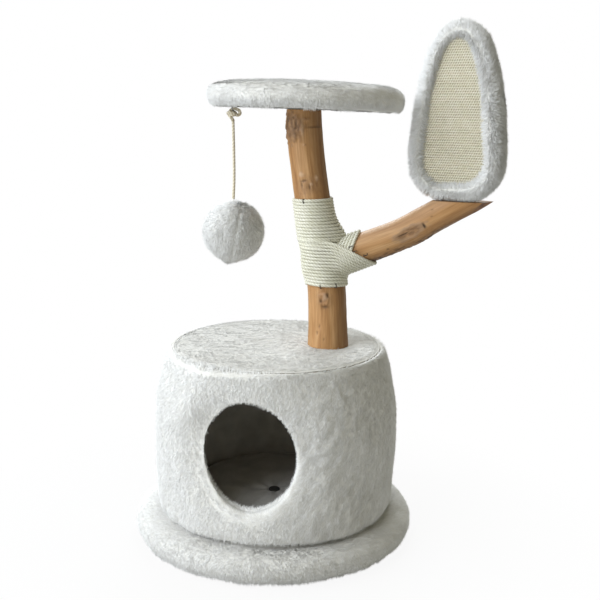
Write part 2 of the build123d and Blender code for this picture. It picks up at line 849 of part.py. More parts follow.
with BuildPart() as scratcher_back:
    add(egg(scratcher_rim_width + gap, board_low - gap - scratcher_back_thickness, board_low - gap))
scratcher_back.part.label = "scratcher_back"
export_step(scratcher_back.part, "parts/scratcher_back.step")

with BuildPart() as scratcher_dowels:
    add(dowel_pair(0))
scratcher_dowels.part.label = "scratcher_dowels"
export_step(scratcher_dowels.part, "parts/scratcher_dowels.step")

# Hanging toy

loop_height = staple_bar_height + staple_radius + gap - (loop_radius - loop_cord_radius)
ball_top = ball_height + ball_radius
ball_place = Plane(origin=(toy_x, 0, ball_height))

with BuildPart() as toy_staple:
    add(staple(staple_radius))
toy_staple.part.label = "toy_staple"
export_step(toy_staple.part, "parts/toy_staple.step")

with BuildPart() as toy_knot:
    with Locations((toy_x, 0, loop_height)):
        Torus(loop_radius, loop_cord_radius, rotation=(90, 0, 0))
    with Locations((toy_x, 0, knot_height)):
        Sphere(knot_radius)
toy_knot.part.label = "toy_knot"
export_step(toy_knot.part, "parts/toy_knot.step")

with BuildPart() as toy_cord:
    with BuildSketch(Plane.XY.offset(ball_top + gap)):
        with Locations((toy_x, 0)):
            Circle(cord_radius)
    extrude(amount=knot_height - knot_radius - gap - ball_top - gap)
toy_cord.part.label = "toy_cord"
export_step(toy_cord.part, "parts/toy_cord.step")

with BuildPart() as toy_ball:
    with Locations(ball_place):
        Sphere(ball_radius)
        Sphere(ball_radius - ball_plush, mode=Mode.SUBTRACT)
toy_ball.part.label = "toy_ball"
export_step(toy_ball.part, "parts/toy_ball.step")

with BuildPart() as toy_filling:
    with Locations(ball_place):
        Sphere(ball_radius - ball_plush - gap)
toy_filling.part.label = "toy_filling"
export_step(toy_filling.part, "parts/toy_filling.step")

hanging_run = knot_height - knot_radius - ball_top - 2 * gap
print(f"toy_cord: one straight hanging run of {hanging_run:.1f} mm, no bends, so no radii")
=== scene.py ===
import math

import bpy
import numpy as np
from mathutils import Matrix, Vector, noise


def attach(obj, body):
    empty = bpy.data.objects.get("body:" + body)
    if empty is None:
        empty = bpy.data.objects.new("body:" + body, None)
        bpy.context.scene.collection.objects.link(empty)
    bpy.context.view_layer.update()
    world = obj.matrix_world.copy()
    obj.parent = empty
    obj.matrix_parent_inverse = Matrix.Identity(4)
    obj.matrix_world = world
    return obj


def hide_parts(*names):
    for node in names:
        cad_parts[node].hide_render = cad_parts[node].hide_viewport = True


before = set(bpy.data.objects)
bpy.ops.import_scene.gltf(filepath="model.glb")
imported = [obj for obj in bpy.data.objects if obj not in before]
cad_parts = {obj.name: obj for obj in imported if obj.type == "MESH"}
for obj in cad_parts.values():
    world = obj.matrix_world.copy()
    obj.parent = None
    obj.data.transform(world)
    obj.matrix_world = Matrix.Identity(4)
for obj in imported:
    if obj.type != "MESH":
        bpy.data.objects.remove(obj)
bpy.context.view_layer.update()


# Base: a round chipboard plate under a foam pad, in a white plush cover drawn tight over the rim.
# The hem is stapled under the plate, and a felt sheet closes the underside.
# The plush is a backing cloth with a dense short pile, which is made here as combed locks.

base_board_radius = 0.206
base_board_top = 0.0223
base_hem_radius = 0.198
base_profile = (
    (0.0, 0.0482), (0.120, 0.0484), (0.196, 0.0482), (0.212, 0.0476), (0.2235, 0.0443),
    (0.2320, 0.0375), (0.2358, 0.0280), (0.2352, 0.0180), (0.2305, 0.0095), (0.2220, 0.0045),
    (0.2120, 0.0026), (0.199, 0.0022),
)
base_lumps = ((0.0016, 0.055, 1), (0.0007, 0.018, 2))
base_swell, base_swell_bearing, base_swell_width = 0.0050, -2.6, 0.8
# The pile is painted darker at its roots, a painted shade deep between the locks; the bare skin takes the
# root colour.
plush_root_shade = (0.80, 0.79, 0.76, 1.0)
plush_tip = (0.955, 0.955, 0.95, 1.0)


def choose(*pieces):
    """Selects only these pieces and makes the first one active."""
    bpy.ops.object.select_all(action="DESELECT")
    for piece in pieces:
        piece.select_set(True)
    bpy.context.view_layer.objects.active = pieces[0]


def new_piece(name, points, faces, edges=()):
    """A new piece at the origin, the only one selected."""
    mesh = bpy.data.meshes.new(name)
    mesh.from_pydata([tuple(map(float, p)) for p in points], edges, faces)
    mesh.update()
    piece = bpy.data.objects.new(name, mesh)
    bpy.context.collection.objects.link(piece)
    choose(piece)
    return piece


def flowing(points, spacing):
    """Evenly spaced points on a smooth line through the given points."""
    points = np.asarray(points, float)
    chord = np.r_[0, np.cumsum(np.linalg.norm(np.diff(points, axis=0), axis=1))]
    slope = np.gradient(points, chord, axis=0)
    place = np.linspace(0, chord[-1], int(round(chord[-1] / spacing)) + 1)
    i = np.clip(np.searchsorted(chord, place, side="right") - 1, 0, len(chord) - 2)
    run = (chord[i + 1] - chord[i])[:, None]
    u = (place - chord[i])[:, None] / run
    start = (1 + 2 * u) * (1 - u) ** 2 * points[i] + u * (1 - u) ** 2 * run * slope[i]
    return start + u * u * (3 - 2 * u) * points[i + 1] + u * u * (u - 1) * run * slope[i + 1]


def turned(name, profile, steps):
    """A piece spun round the Z axis from a profile of radius and height."""
    points = [(r, 0.0, z) for r, z in profile]
    piece = new_piece(name, points, [], [(k, k + 1) for k in range(len(points) - 1)])
    bpy.ops.object.mode_set(mode="EDIT")
    bpy.ops.mesh.select_all(action="SELECT")
    bpy.ops.mesh.spin(steps=steps, angle=2 * math.pi, center=(0, 0, 0), axis=(0, 0, 1))
    bpy.ops.mesh.select_all(action="SELECT")
    bpy.ops.mesh.remove_doubles(threshold=0.00002)
    bpy.ops.mesh.normals_make_consistent(inside=False)
    bpy.ops.object.mode_set(mode="OBJECT")
    bpy.ops.object.shade_smooth()
    return piece


def places_of(piece):
    """The piece's points as an array."""
    flat = np.empty(len(piece.data.vertices) * 3, np.float32)
    piece.data.vertices.foreach_get("co", flat)
    return flat.reshape(-1, 3).astype(float)


def normals_of(piece):
    """The piece's smooth normals, one for each point."""
    flat = np.empty(len(piece.data.vertices) * 3, np.float32)
    piece.data.vertex_normals.foreach_get("vector", flat)
    return flat.reshape(-1, 3).astype(float)


def move_to(piece, points):
    """Puts the piece's points at new places."""
    piece.data.vertices.foreach_set("co", np.ascontiguousarray(points, np.float32).ravel())
    piece.data.update()


def clouds(points, size, seed):
    """A soft cloud pattern from -1 to 1 at each point, with lumps of the given size."""
    shift = np.array((seed * 7.13, seed * 3.71, seed * 1.97))
    return np.array([noise.noise(Vector(p)) for p in points / np.asarray(size) + shift])


def uneven(points, layers):
    """The sum of layers of lumps, each with its height, its size and its seed."""
    return sum(height * clouds(points, size, seed) for height, size, seed in layers)


def unit(vectors):
    """The vectors at length one."""
    return vectors / np.maximum(np.linalg.norm(vectors, axis=-1, keepdims=True), 1e-9)


def smooth_step(value, low, high):
    """0 below low, 1 above high, and an even rise between."""
    share = np.clip((value - low) / (high - low), 0, 1)
    return share * share * (3 - 2 * share)


def hump(value, middle, width, power=2):
    """1 at the middle, falling away evenly to both sides."""
    return np.exp(-((value - middle) / width) ** power)


def off_axis(points, x=0.0, y=0.0):
    """How far each point lies from an upright axis."""
    return np.hypot(points[:, 0] - x, points[:, 1] - y)


def bearing(points, x=0.0, y=0.0):
    """The angle at which each point lies round an upright axis."""
    return np.arctan2(points[:, 1] - y, points[:, 0] - x)


def add_values(piece, name, values):
    """A number or a vector for each point, for a material to read."""
    values = np.ascontiguousarray(values, np.float32)
    kind, key = ("FLOAT", "value") if values.ndim == 1 else ("FLOAT_VECTOR", "vector")
    piece.data.attributes.new(name, kind, "POINT").data.foreach_set(key, values.ravel())


def lay_pile(name, skin, comb, cover, count, seed, length=0.0070, width=0.0013, lift=0.44, swirl=0.36,
             grain=(0.016, 0.016, 0.016), ruffle=0.28, tint=None, trim=None):
    """Locks of pile over a skin: closed slender spikes that lean the way the fur is combed."""
    rng = np.random.default_rng(seed)
    places, normals = places_of(skin), normals_of(skin)
    skin.data.calc_loop_triangles()
    corner = np.empty(len(skin.data.loop_triangles) * 3, np.int32)
    skin.data.loop_triangles.foreach_get("vertices", corner)
    corner = corner.reshape(-1, 3)
    a, b, c = places[corner[:, 0]], places[corner[:, 1]], places[corner[:, 2]]
    cross = np.cross(b - a, c - a)
    area = np.linalg.norm(cross, axis=1) / 2
    share = area * cover((a + b + c) / 3, unit(cross))
    pick = rng.choice(len(corner), count, p=share / share.sum())
    u, v = rng.random((2, count))
    turn = u + v > 1
    u[turn], v[turn] = 1 - u[turn], 1 - v[turn]
    weights = np.stack([1 - u - v, u, v], 1)[:, :, None]
    root = (places[corner[pick]] * weights).sum(1)
    normal = unit((normals[corner[pick]] * weights).sum(1))
    nap = comb(root, normal)
    nap = unit(nap - normal * (nap * normal).sum(1, keepdims=True))
    side = np.cross(normal, nap)
    bunch = clouds(root, grain, seed)
    sway = swirl * (bunch + clouds(root, np.multiply(grain, 3.1), seed + 1))
    angle = sway + rng.normal(0, 0.22, count)
    lean = nap * np.cos(angle)[:, None] + side * np.sin(angle)[:, None]
    rise = lift + 0.20 * clouds(root, np.multiply(grain, 0.7), seed + 2) + rng.normal(0, 0.10, count)
    rise = np.clip(rise, 0.16, 1.2)
    way = unit(normal * np.sin(rise)[:, None] + lean * np.cos(rise)[:, None])
    across = unit(np.cross(way, normal))
    over = np.cross(across, way)
    size = (length * (0.7 + 0.5 * rng.random(count)))[:, None]
    if trim:
        size = size * trim(root)[:, None]
    half = (width * (0.7 + 0.5 * rng.random(count)) / 2)[:, None]
    low = root - normal * 0.0012
    tip = root + way * size
    spikes = np.stack([low + across * half, low - across * half, low + over * half * 0.8, tip], 1)
    astray = unit(np.stack([rng.normal(0, 1, count) for k in range(3)], 1)) * ruffle
    flat = normal + astray + lean * (0.16 * bunch)[:, None]
    facing = np.stack([flat + across * 0.42, flat - across * 0.42, flat + over * 0.2, flat + way * 0.25], 1)
    faces = np.array([(0, 2, 1), (0, 1, 3), (1, 2, 3), (2, 0, 3)])
    corners = (np.arange(count)[:, None, None] * 4 + faces[None]).reshape(-1, 3)
    pile = new_piece(name, [], [])
    mesh = pile.data
    mesh.vertices.add(count * 4)
    mesh.vertices.foreach_set("co", np.ascontiguousarray(spikes, np.float32).ravel())
    mesh.loops.add(len(corners) * 3)
    mesh.loops.foreach_set("vertex_index", np.ascontiguousarray(corners, np.int32).ravel())
    mesh.polygons.add(len(corners))
    mesh.polygons.foreach_set("loop_start", np.arange(0, len(corners) * 3, 3, dtype=np.int32))
    mesh.update(calc_edges=True)
    mesh.validate()
    bpy.ops.object.shade_smooth()
    mesh.normals_split_custom_set_from_vertices(unit(facing.reshape(-1, 3)).astype(np.float32))
    # How far along each lock a point lies, for the painted shade at its roots.
    add_values(pile, "reach", np.tile((0.0, 0.0, 0.15, 1.0), count))
    tone = 0.55 + 0.2 * bunch + rng.normal(0, 0.10, count)
    if tint:
        tone = tone + tint(root)
    add_values(pile, "tone", np.repeat(tone, 4))
    return pile


def node(tree, kind, inputs=(), **settings):
    """A new shader node, with its inputs set or linked."""
    made = tree.nodes.new(kind)
    for key, value in settings.items():
        setattr(made, key, value)
    for key, value in dict(inputs).items():
        if isinstance(value, bpy.types.NodeSocket):
            tree.links.new(value, made.inputs[key])
        else:
            made.inputs[key].default_value = value
    return made


def blend(tree, share, first, second, how="MIX"):
    """A mix of two colours."""
    inputs = {0: share, 6: first, 7: second}
    return node(tree, "ShaderNodeMix", inputs, data_type="RGBA", blend_type=how).outputs[2]


def figure(tree, how, first, second=0.5):
    """A sum, product or other figure made from two values."""
    return node(tree, "ShaderNodeMath", {0: first, 1: second}, operation=how).outputs[0]


def ramp(tree, share, *stops):
    """A colour that follows a value through the given stops."""
    made = node(tree, "ShaderNodeValToRGB", {0: share})
    while len(made.color_ramp.elements) < len(stops):
        made.color_ramp.elements.new(0.5)
    for element, (place, colour) in zip(made.color_ramp.elements, stops):
        element.position = place
        element.color = colour
    return made.outputs[0]


def speckle(tree, vector, scale, detail=3.0):
    """A noise value, 0 to 1."""
    return node(tree, "ShaderNodeTexNoise", {"Vector": vector, "Scale": scale, "Detail": detail}).outputs[0]


def read_values(tree, name, output="Fac"):
    """The values that a piece carries under a name."""
    return node(tree, "ShaderNodeAttribute", attribute_name=name).outputs[output]


def new_material(name, roughness):
    """A material with its node tree, its shader and the piece's own coordinates."""
    material = bpy.data.materials.new(name)
    material.use_nodes = True
    tree = material.node_tree
    shader = tree.nodes["Principled BSDF"]
    shader.inputs["Roughness"].default_value = roughness
    return material, tree, shader, node(tree, "ShaderNodeTexCoord").outputs["Object"]


def raise_by(tree, shader, height, strength, distance):
    """Small relief on the surface."""
    bump = node(tree, "ShaderNodeBump", {"Height": height, "Strength": strength, "Distance": distance})
    tree.links.new(bump.outputs[0], shader.inputs["Normal"])


plush, tree, shader, spot = new_material("plush", 0.9)
shader.inputs["Sheen Weight"].default_value = 0.25
shader.inputs["Sheen Roughness"].default_value = 0.5
reach = read_values(tree, "reach")
tone = read_values(tree, "tone")
mottle = speckle(tree, spot, 70.0, 4.0)
# Painted shade: darker at the roots of the locks and on the bare skin, lighter at the tips.
colour = blend(tree, reach, plush_root_shade, plush_tip)
shadow = ramp(tree, tone, (0.2, (0.82, 0.81, 0.79, 1)), (0.75, (1, 1, 1, 1)))
colour = blend(tree, 0.45, colour, shadow, "MULTIPLY")
cloudy = ramp(tree, mottle, (0.35, (0.84, 0.83, 0.80, 1)), (0.6, (1, 1, 1, 1)))
colour = blend(tree, 0.3, colour, cloudy, "MULTIPLY")
tree.links.new(colour, shader.inputs["Base Color"])
raise_by(tree, shader, speckle(tree, spot, 420.0), 0.5, 0.001)


def dress(piece, material, body, slot, *nodes):
    """Gives a piece its material, the body it moves with and the nodes it stands for."""
    piece.data.materials.append(material)
    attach(piece, body)
    if nodes:
        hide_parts(*nodes)


def keep_above(piece, height):
    """Lifts the points that lie under a height up to it."""
    places = places_of(piece)
    places[:, 2] = np.maximum(places[:, 2], height)
    move_to(piece, places)


def add_pile(name, skin, comb, cover, body="stand", floor=None, **settings):
    """Lays plush pile on a skin, above a floor where one is given, to move with a body."""
    pile = lay_pile(name, skin, comb, cover, **settings)
    if floor is not None:
        keep_above(pile, floor)
    dress(pile, plush, body, "plush")


def flecked(name, roughness, scale, dark, light, detail=3.0):
    """A material mottled between two colours, with its tree, its shader and the mottling's value."""
    material, tree, shader, spot = new_material(name, roughness)
    fleck = speckle(tree, spot, scale, detail)
    shade = ramp(tree, fleck, (0.3, (*dark, 1)), (0.7, (*light, 1)))
    tree.links.new(shade, shader.inputs["Base Color"])
    return material, tree, shader, fleck


felt, tree, shader, fleck = flecked("felt", 0.95, 260.0, (0.46, 0.45, 0.43), (0.62, 0.61, 0.59), 6.0)
raise_by(tree, shader, fleck, 0.6, 0.0008)

chipboard, tree, shader, spot = new_material("chipboard", 0.8)
chips = node(tree, "ShaderNodeTexVoronoi", {"Vector": spot, "Scale": 220.0}).outputs["Color"]
chip = node(tree, "ShaderNodeSeparateColor", {0: chips}).outputs[0]
shade = ramp(tree, chip, (0.1, (0.40, 0.28, 0.16, 1)), (0.9, (0.60, 0.45, 0.28, 1)))
stain = ramp(tree, speckle(tree, spot, 90.0), (0.3, (0.5, 0.4, 0.28, 1)), (0.7, (1, 1, 1, 1)))
shade = blend(tree, 0.3, shade, stain, "MULTIPLY")
tree.links.new(shade, shader.inputs["Base Color"])
raise_by(tree, shader, speckle(tree, spot, 300.0), 0.3, 0.0005)

steel, tree, shader, brushed = flecked("steel", 0.4, 500.0, (0.40, 0.40, 0.41), (0.56, 0.56, 0.57))
shader.inputs["Metallic"].default_value = 1.0
tree.links.new(figure(tree, "MULTIPLY_ADD", brushed, 0.3), shader.inputs["Roughness"])


def keep_nodes(material, *names):
    """CAD pieces that show as they are, in a material."""
    for name in names:
        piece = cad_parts[name]
        piece.data.materials.clear()
        piece.data.materials.append(material)


base_inside = (
    (base_hem_radius + 0.0006, 0.0042), (base_board_radius + 0.0004, 0.0044),
    (base_board_radius + 0.0004, base_board_top + 0.0004), (0.0, base_board_top + 0.0004),
)
base_skin = turned("base_plush", np.vstack([flowing(base_profile, 0.006), base_inside]), 250)
places, normals = places_of(base_skin), normals_of(base_skin)
outer = (off_axis(places) > 0.15) & (places[:, 2] > 0.003)
swell = base_swell * hump(bearing(places), base_swell_bearing, base_swell_width)
wave = uneven(places, base_lumps) + swell
move_to(base_skin, places + normals * (wave * outer)[:, None])
dress(base_skin, plush, "stand", "plush", "base_cover", "base_foam")


def comb_base(root, normal):
    """Outwards on the top and down over the rim."""
    return unit(root * (1, 1, 0)) * 0.6 + np.array((0.1, 0.0, -1.0))


def cover_base(middle, facing):
    """All of the cover that can be seen: the rim and the top outside the house."""
    off = off_axis(middle)
    return ((off > 0.192) & (facing[:, 2] > -0.75) & (middle[:, 2] > 0.0026)) * 1.0


add_pile("base_pile", base_skin, comb_base, cover_base, floor=0.0002, count=46000, seed=3,
         grain=(0.016, 0.016, 0.03))

base_sheet = turned("base_felt", (
    (0.0, 0.0002), (0.06, 0.0002), (0.13, 0.0002), (0.1964, 0.0002), (0.1974, 0.0008),
    (0.1974, 0.0032), (0.1964, 0.0038), (0.10, 0.0038), (0.0, 0.0038),
), 96)
dress(base_sheet, felt, "stand", "felt", "base_underlay")
keep_nodes(chipboard, "base_board")
keep_nodes(steel, "floor_screws")


# House: a bent fibreboard drum on a round floor, padded with foam to a barrel and covered in plush.
# The side cover rolls in round the oval doorway, where a soft binding hides the edge of the board.

house_profile = (
    (0.1975, 0.0530), (0.2010, 0.0580), (0.2030, 0.0800), (0.2058, 0.1300), (0.2070, 0.1850),
    (0.2042, 0.2450), (0.1960, 0.2880), (0.1905, 0.3080), (0.1852, 0.3245), (0.1802, 0.3342),
)
house_inner = 0.1772
house_top = ((0.1765, 0.3350), (0.1752, 0.3250), (house_inner, 0.3165))
doorway_middle = np.array((-0.012, 0.193))
doorway_half = np.array((0.079, 0.0875))
doorway_lean = math.radians(6)
house_voxel = 0.005
house_lumps = ((0.0028, 0.075, 5), (0.0012, (0.03, 0.03, 0.045), 6))
house_front, lip_front = -0.02, -0.05
bunch_bearing = -2.1
crease_ripple, crease_depth = 0.0014, 0.0022


def evenly(loop, spacing):
    """Evenly spaced points on a closed line of close points."""
    closed = np.vstack([loop, loop[:1]])
    run = np.r_[0, np.cumsum(np.linalg.norm(np.diff(closed, axis=0), axis=1))]
    even = np.linspace(0, run[-1], int(round(run[-1] / spacing)) + 1)[:-1]
    return np.stack([np.interp(even, run, closed[:, k]) for k in range(closed.shape[1])], 1)


def doorway_line(spread, spacing):
    """The doorway's leaning oval, grown by spread, as evenly spaced points across and up."""
    turn = np.linspace(0, 2 * np.pi, 721)[:-1]
    across, up = (doorway_half + spread)[:, None] * np.stack([np.cos(turn), np.sin(turn)])
    x = across * math.cos(doorway_lean) - up * math.sin(doorway_lean)
    z = across * math.sin(doorway_lean) + up * math.cos(doorway_lean)
    return evenly(doorway_middle + np.stack([x, z], 1), spacing)


def band_faces(rows, sides, loop=False):
    """Faces from ring to ring. In a loop the last ring joins the first, and the faces turn round."""
    faces = []
    for i in range(rows if loop else rows - 1):
        here, after = i * sides, (i + 1) % rows * sides
        for j in range(sides):
            beside = (j + 1) % sides
            face = (here + j, here + beside, after + beside, after + j)
            faces.append((face[0], face[3], face[2], face[1]) if loop else face)
    return faces


def tube_faces(rows, sides):
    """Faces of a row of rings of points, with a face over each end."""
    ends = [tuple(range(sides))[::-1], tuple(range((rows - 1) * sides, rows * sides))]
    return band_faces(rows, sides) + ends


def face_outwards(piece, smooth=False):
    """Turns the piece's faces outwards, and shades them smooth on request."""
    choose(piece)
    bpy.ops.object.mode_set(mode="EDIT")
    bpy.ops.mesh.select_all(action="SELECT")
    bpy.ops.mesh.normals_make_consistent(inside=False)
    bpy.ops.object.mode_set(mode="OBJECT")
    if smooth:
        bpy.ops.object.shade_smooth()


def doorway_cutter(spread, shift):
    """A block with the doorway's outline, grown by spread and shifted to the right, through the front."""
    line = doorway_line(spread, 0.006) + np.array((shift, 0.0))
    points = [(x, y, z) for y in (-0.30, -0.12) for x, z in line]
    block = new_piece("doorway_cutter", points, tube_faces(2, len(line)))
    face_outwards(block)
    return block


def finish_with(piece, kind, **settings):
    """Adds a modifier, sets it and applies it."""
    choose(piece)
    made = piece.modifiers.new(kind.lower(), kind)
    for key, value in settings.items():
        setattr(made, key, value)
    bpy.ops.object.modifier_apply(modifier=made.name)


def cut_doorway(piece, spread, shift=0.0):
    """Cuts the doorway's opening out of a piece."""
    block = doorway_cutter(spread, shift)
    finish_with(piece, "BOOLEAN", operation="DIFFERENCE", object=block, solver="EXACT")
    bpy.data.objects.remove(block)


outside = flowing(house_profile, 0.008)
ring = np.vstack([outside, house_top, [(house_inner, 0.2), (house_inner, 0.053), outside[0]]])
house_skin = turned("house_plush", ring, 160)
cut_doorway(house_skin, 0.0015, 0.0032)
finish_with(house_skin, "REMESH", mode="VOXEL", voxel_size=house_voxel, use_smooth_shade=True)
finish_with(house_skin, "SMOOTH", factor=0.5, iterations=10)


def near_doorway(points):
    """How far out a point lies, 1 on the doorway's outline, and the angle round it, for the front."""
    flat = points[:, (0, 2)] - doorway_middle
    across = flat[:, 0] * math.cos(doorway_lean) + flat[:, 1] * math.sin(doorway_lean)
    up = flat[:, 1] * math.cos(doorway_lean) - flat[:, 0] * math.sin(doorway_lean)
    return np.hypot(across / doorway_half[0], up / doorway_half[1]), np.arctan2(flat[:, 1], flat[:, 0])


def shape_house(points, normals):
    """Soft lumps, padding thinned towards the doorway, plush bunched at the seam, creases at the right."""
    around = bearing(points)
    radius = off_axis(points)
    front = (points[:, 1] < house_front) * smooth_step(radius, 0.183, 0.195)
    move = uneven(points, house_lumps)
    seam = smooth_step(points[:, 2], 0.300, 0.326) * hump(around, -2.05, 0.50)
    move += seam * (0.0030 + 0.0036 * clouds(points, (0.016, 0.016, 0.03), 7))
    diagonal = np.stack([points[:, 0] - 0.55 * points[:, 2], points[:, 1], points[:, 2] * 0.25], 1)
    right = hump(around, -0.75, 0.5) * front
    crease = np.clip(1 - 3.2 * np.abs(clouds(diagonal, 0.017, 8)), 0, 1) ** 2
    move += right * (crease_ripple * clouds(diagonal, 0.014, 9) + crease_depth * crease)
    points = points + normals * (move * smooth_step(radius, 0.180, 0.186))[:, None]
    ratio, angle = near_doorway(points)
    left = hump(np.cos(angle), -0.75, 0.5)
    below = smooth_step(-np.sin(angle), 0.3, 0.9)
    thin = (0.44 + 0.24 * left - 0.18 * below) * smooth_step(-ratio, -1.80 + 0.2 * left, -1.00)
    thin = thin * (points[:, 1] < house_front)
    radius = off_axis(points)
    drawn = (house_inner + (radius - house_inner) * (1 - thin)) / radius
    return points * np.stack([drawn, drawn, np.ones(len(points))], 1)


move_to(house_skin, shape_house(places_of(house_skin), normals_of(house_skin)))
dress(house_skin, plush, "stand", "plush", "house_cover", "house_foam")


def comb_house(root, normal):
    """Downwards, to the right at the front right, into the doorway and over the seam at the front left."""
    around = bearing(root)
    tangent = np.stack([-normal[:, 1], normal[:, 0], 0 * around], 1)
    slant = 0.25 + 0.9 * hump(around, -0.7, 0.5)
    way = np.array((0, 0, -1.0)) - tangent * slant[:, None]
    ratio, angle = near_doorway(root)
    lip = hump(ratio, 1.0, 0.16) * (root[:, 1] < lip_front)
    inward = np.stack([-np.cos(angle), 1.2 + 0 * angle, -np.sin(angle)], 1)
    way = way * (1 - lip)[:, None] + inward * (1.4 * lip)[:, None]
    crest = smooth_step(root[:, 2], 0.316, 0.329)
    bunched = crest * hump(around, bunch_bearing, 0.75)
    outward = unit(root * (1, 1, 0))
    return way * (1 - bunched)[:, None] + outward * (0.6 * crest - 2.0 * bunched)[:, None]


def cover_house(front):
    """The outside of the cover and its lip, on the front or on the back."""
    def share(middle, facing):
        radius = off_axis(middle)
        inside = (facing[:, 0] * middle[:, 0] + facing[:, 1] * middle[:, 1]) / radius < -0.5
        half = middle[:, 1] < 0 if front else middle[:, 1] >= 0
        return (half & ~inside & (facing[:, 2] > -0.8) & (radius > 0.1775)) * 1.0
    return share


def trim_house(root):
    """Shorter pile round the doorway, and longer where it bunches over the roof's seam."""
    around = bearing(root)
    bunched = smooth_step(root[:, 2], 0.320, 0.330) * hump(around, bunch_bearing, 0.6)
    lip = hump(near_doorway(root)[0], 1.0, 0.12) * (root[:, 1] < lip_front)
    return 1 - 0.5 * lip + 0.5 * bunched


for name, front, seed in (("house_pile_front", True, 11), ("house_pile_back", False, 12)):
    add_pile(name, house_skin, comb_house, cover_house(front), count=49000, seed=seed, swirl=0.28,
             grain=(0.014, 0.014, 0.032), trim=trim_house)


def stretched(tree, vector, scale):
    """Coordinates scaled along each axis."""
    return node(tree, "ShaderNodeMapping", {"Vector": vector, "Scale": scale}).outputs[0]


fibreboard, tree, shader, spot = new_material("fibreboard", 0.85)
fibres = speckle(tree, stretched(tree, spot, (400, 400, 60)), 1.0)
shade = ramp(tree, fibres, (0.3, (0.20, 0.12, 0.06, 1)), (0.7, (0.36, 0.24, 0.14, 1)))
tree.links.new(shade, shader.inputs["Base Color"])
raise_by(tree, shader, fibres, 0.3, 0.0004)
keep_nodes(fibreboard, "house_wall")
keep_nodes(chipboard, "house_floor", "roof_board")


def new_group(name, inputs, outputs):
    """An empty node group with the given sockets, and its two end nodes."""
    group = bpy.data.node_groups.new(name, "ShaderNodeTree")
    for label, kind, value in inputs:
        socket = group.interface.new_socket(label, in_out="INPUT", socket_type=kind)
        socket.default_value = value
    for label, kind in outputs:
        group.interface.new_socket(label, in_out="OUTPUT", socket_type=kind)
    return group, node(group, "NodeGroupInput"), node(group, "NodeGroupOutput")


def grouped(name, roughness, group, strength, distance, **settings):
    """A material with the colour and the relief of a node group, which gets the settings."""
    material, tree, shader, spot = new_material(name, roughness)
    made = node(tree, "ShaderNodeGroup", settings, node_tree=group)
    tree.links.new(made.outputs["Colour"], shader.inputs["Base Color"])
    raise_by(tree, shader, made.outputs["Height"], strength, distance)
    return material


# Woven cloth: two tones in soft patches under crossing threads, with painted shade where the threads lie low
woven_cloth, taken, given = new_group("woven_cloth", (
    ("Dark", "NodeSocketColor", (0.5, 0.5, 0.5, 1)), ("Light", "NodeSocketColor", (0.6, 0.6, 0.6, 1)),
    ("Patches", "NodeSocketFloat", 30.0), ("Threads", "NodeSocketFloat", 200.0),
), (("Colour", "NodeSocketColor"), ("Height", "NodeSocketFloat")))
spot = node(woven_cloth, "ShaderNodeTexCoord").outputs["Object"]
wave = {"Vector": spot, "Scale": taken.outputs["Threads"], "Distortion": 0.8}
warp = node(woven_cloth, "ShaderNodeTexWave", wave, bands_direction="X").outputs["Fac"]
weft = node(woven_cloth, "ShaderNodeTexWave", wave, bands_direction="Z").outputs["Fac"]
threads = figure(woven_cloth, "MULTIPLY", figure(woven_cloth, "ADD", warp, weft), 0.5)
patches = speckle(woven_cloth, spot, taken.outputs["Patches"])
patches = node(woven_cloth, "ShaderNodeMapRange", {0: patches, 1: 0.3, 2: 0.7}).outputs[0]
shade = blend(woven_cloth, patches, taken.outputs["Dark"], taken.outputs["Light"])
# Painted shade where the threads lie low.
thread_shade = ramp(woven_cloth, threads, (0.0, (0.7, 0.7, 0.7, 1)), (1.0, (1, 1, 1, 1)))
woven_cloth.links.new(blend(woven_cloth, 0.25, shade, thread_shade, "MULTIPLY"), given.inputs["Colour"])
woven_cloth.links.new(threads, given.inputs["Height"])

lining = grouped("lining", 0.95, woven_cloth, 0.3, 0.0006, Dark=(0.54, 0.53, 0.50, 1),
                 Light=(0.68, 0.665, 0.63, 1), Patches=30.0, Threads=160.0)

lining_outer, lining_inner, lining_sag = 0.1705, 0.1684, 0.0016
lining_heights = np.linspace(0.0626, 0.3168, 50)
lining_out = [(lining_outer, z) for z in lining_heights]
lining_in = [(lining_inner, z) for z in lining_heights[::-1]]
house_lining = turned("house_lining_cloth", lining_out + lining_in + lining_out[:1], 160)
cut_doorway(house_lining, 0.0055)
places = places_of(house_lining)
sag = off_axis(places) < 0.1695
pull = lining_sag * sag * np.abs(clouds(places, (0.02, 0.02, 0.09), 15))
move_to(house_lining, places - unit(places * (1, 1, 0)) * pull[:, None])
dress(house_lining, lining, "stand", "lining", "house_lining")

trim_line = doorway_line(0.0035, 0.005)
trim_out = unit(trim_line - doorway_middle)
trim_around = 14
trim_half_width, trim_half_depth, trim_middle = 0.0030, 0.0066, 0.1742
trim_points = []
for place, away in zip(trim_line, trim_out):
    for j in range(trim_around):
        turn = 2 * math.pi * j / trim_around
        x, z = place + away * trim_half_width * math.sin(turn)
        depth = trim_middle + trim_half_depth * math.cos(turn)
        trim_points.append((x, -math.sqrt(depth ** 2 - x ** 2), z))
doorway_trim = new_piece("doorway_binding", trim_points, band_faces(len(trim_line), trim_around, True))
face_outwards(doorway_trim, True)
dress(doorway_trim, plush, "stand", "plush", "doorway_trim")


def comb_towards(way):
    """One way all over."""
    return lambda root, normal: np.array(way) + 0 * root


def cover_all(middle, facing):
    """All of the piece."""
    return np.ones(len(middle))


add_pile("doorway_pile", doorway_trim, comb_towards((0.0, 1.0, 0.0)), cover_all, count=4000, seed=16,
         length=0.0060)


# Roof: a flat plush disc sewn to the side cover along a corded seam.
# The cloth lies loose on the board, so it has fine wrinkles from side to side.

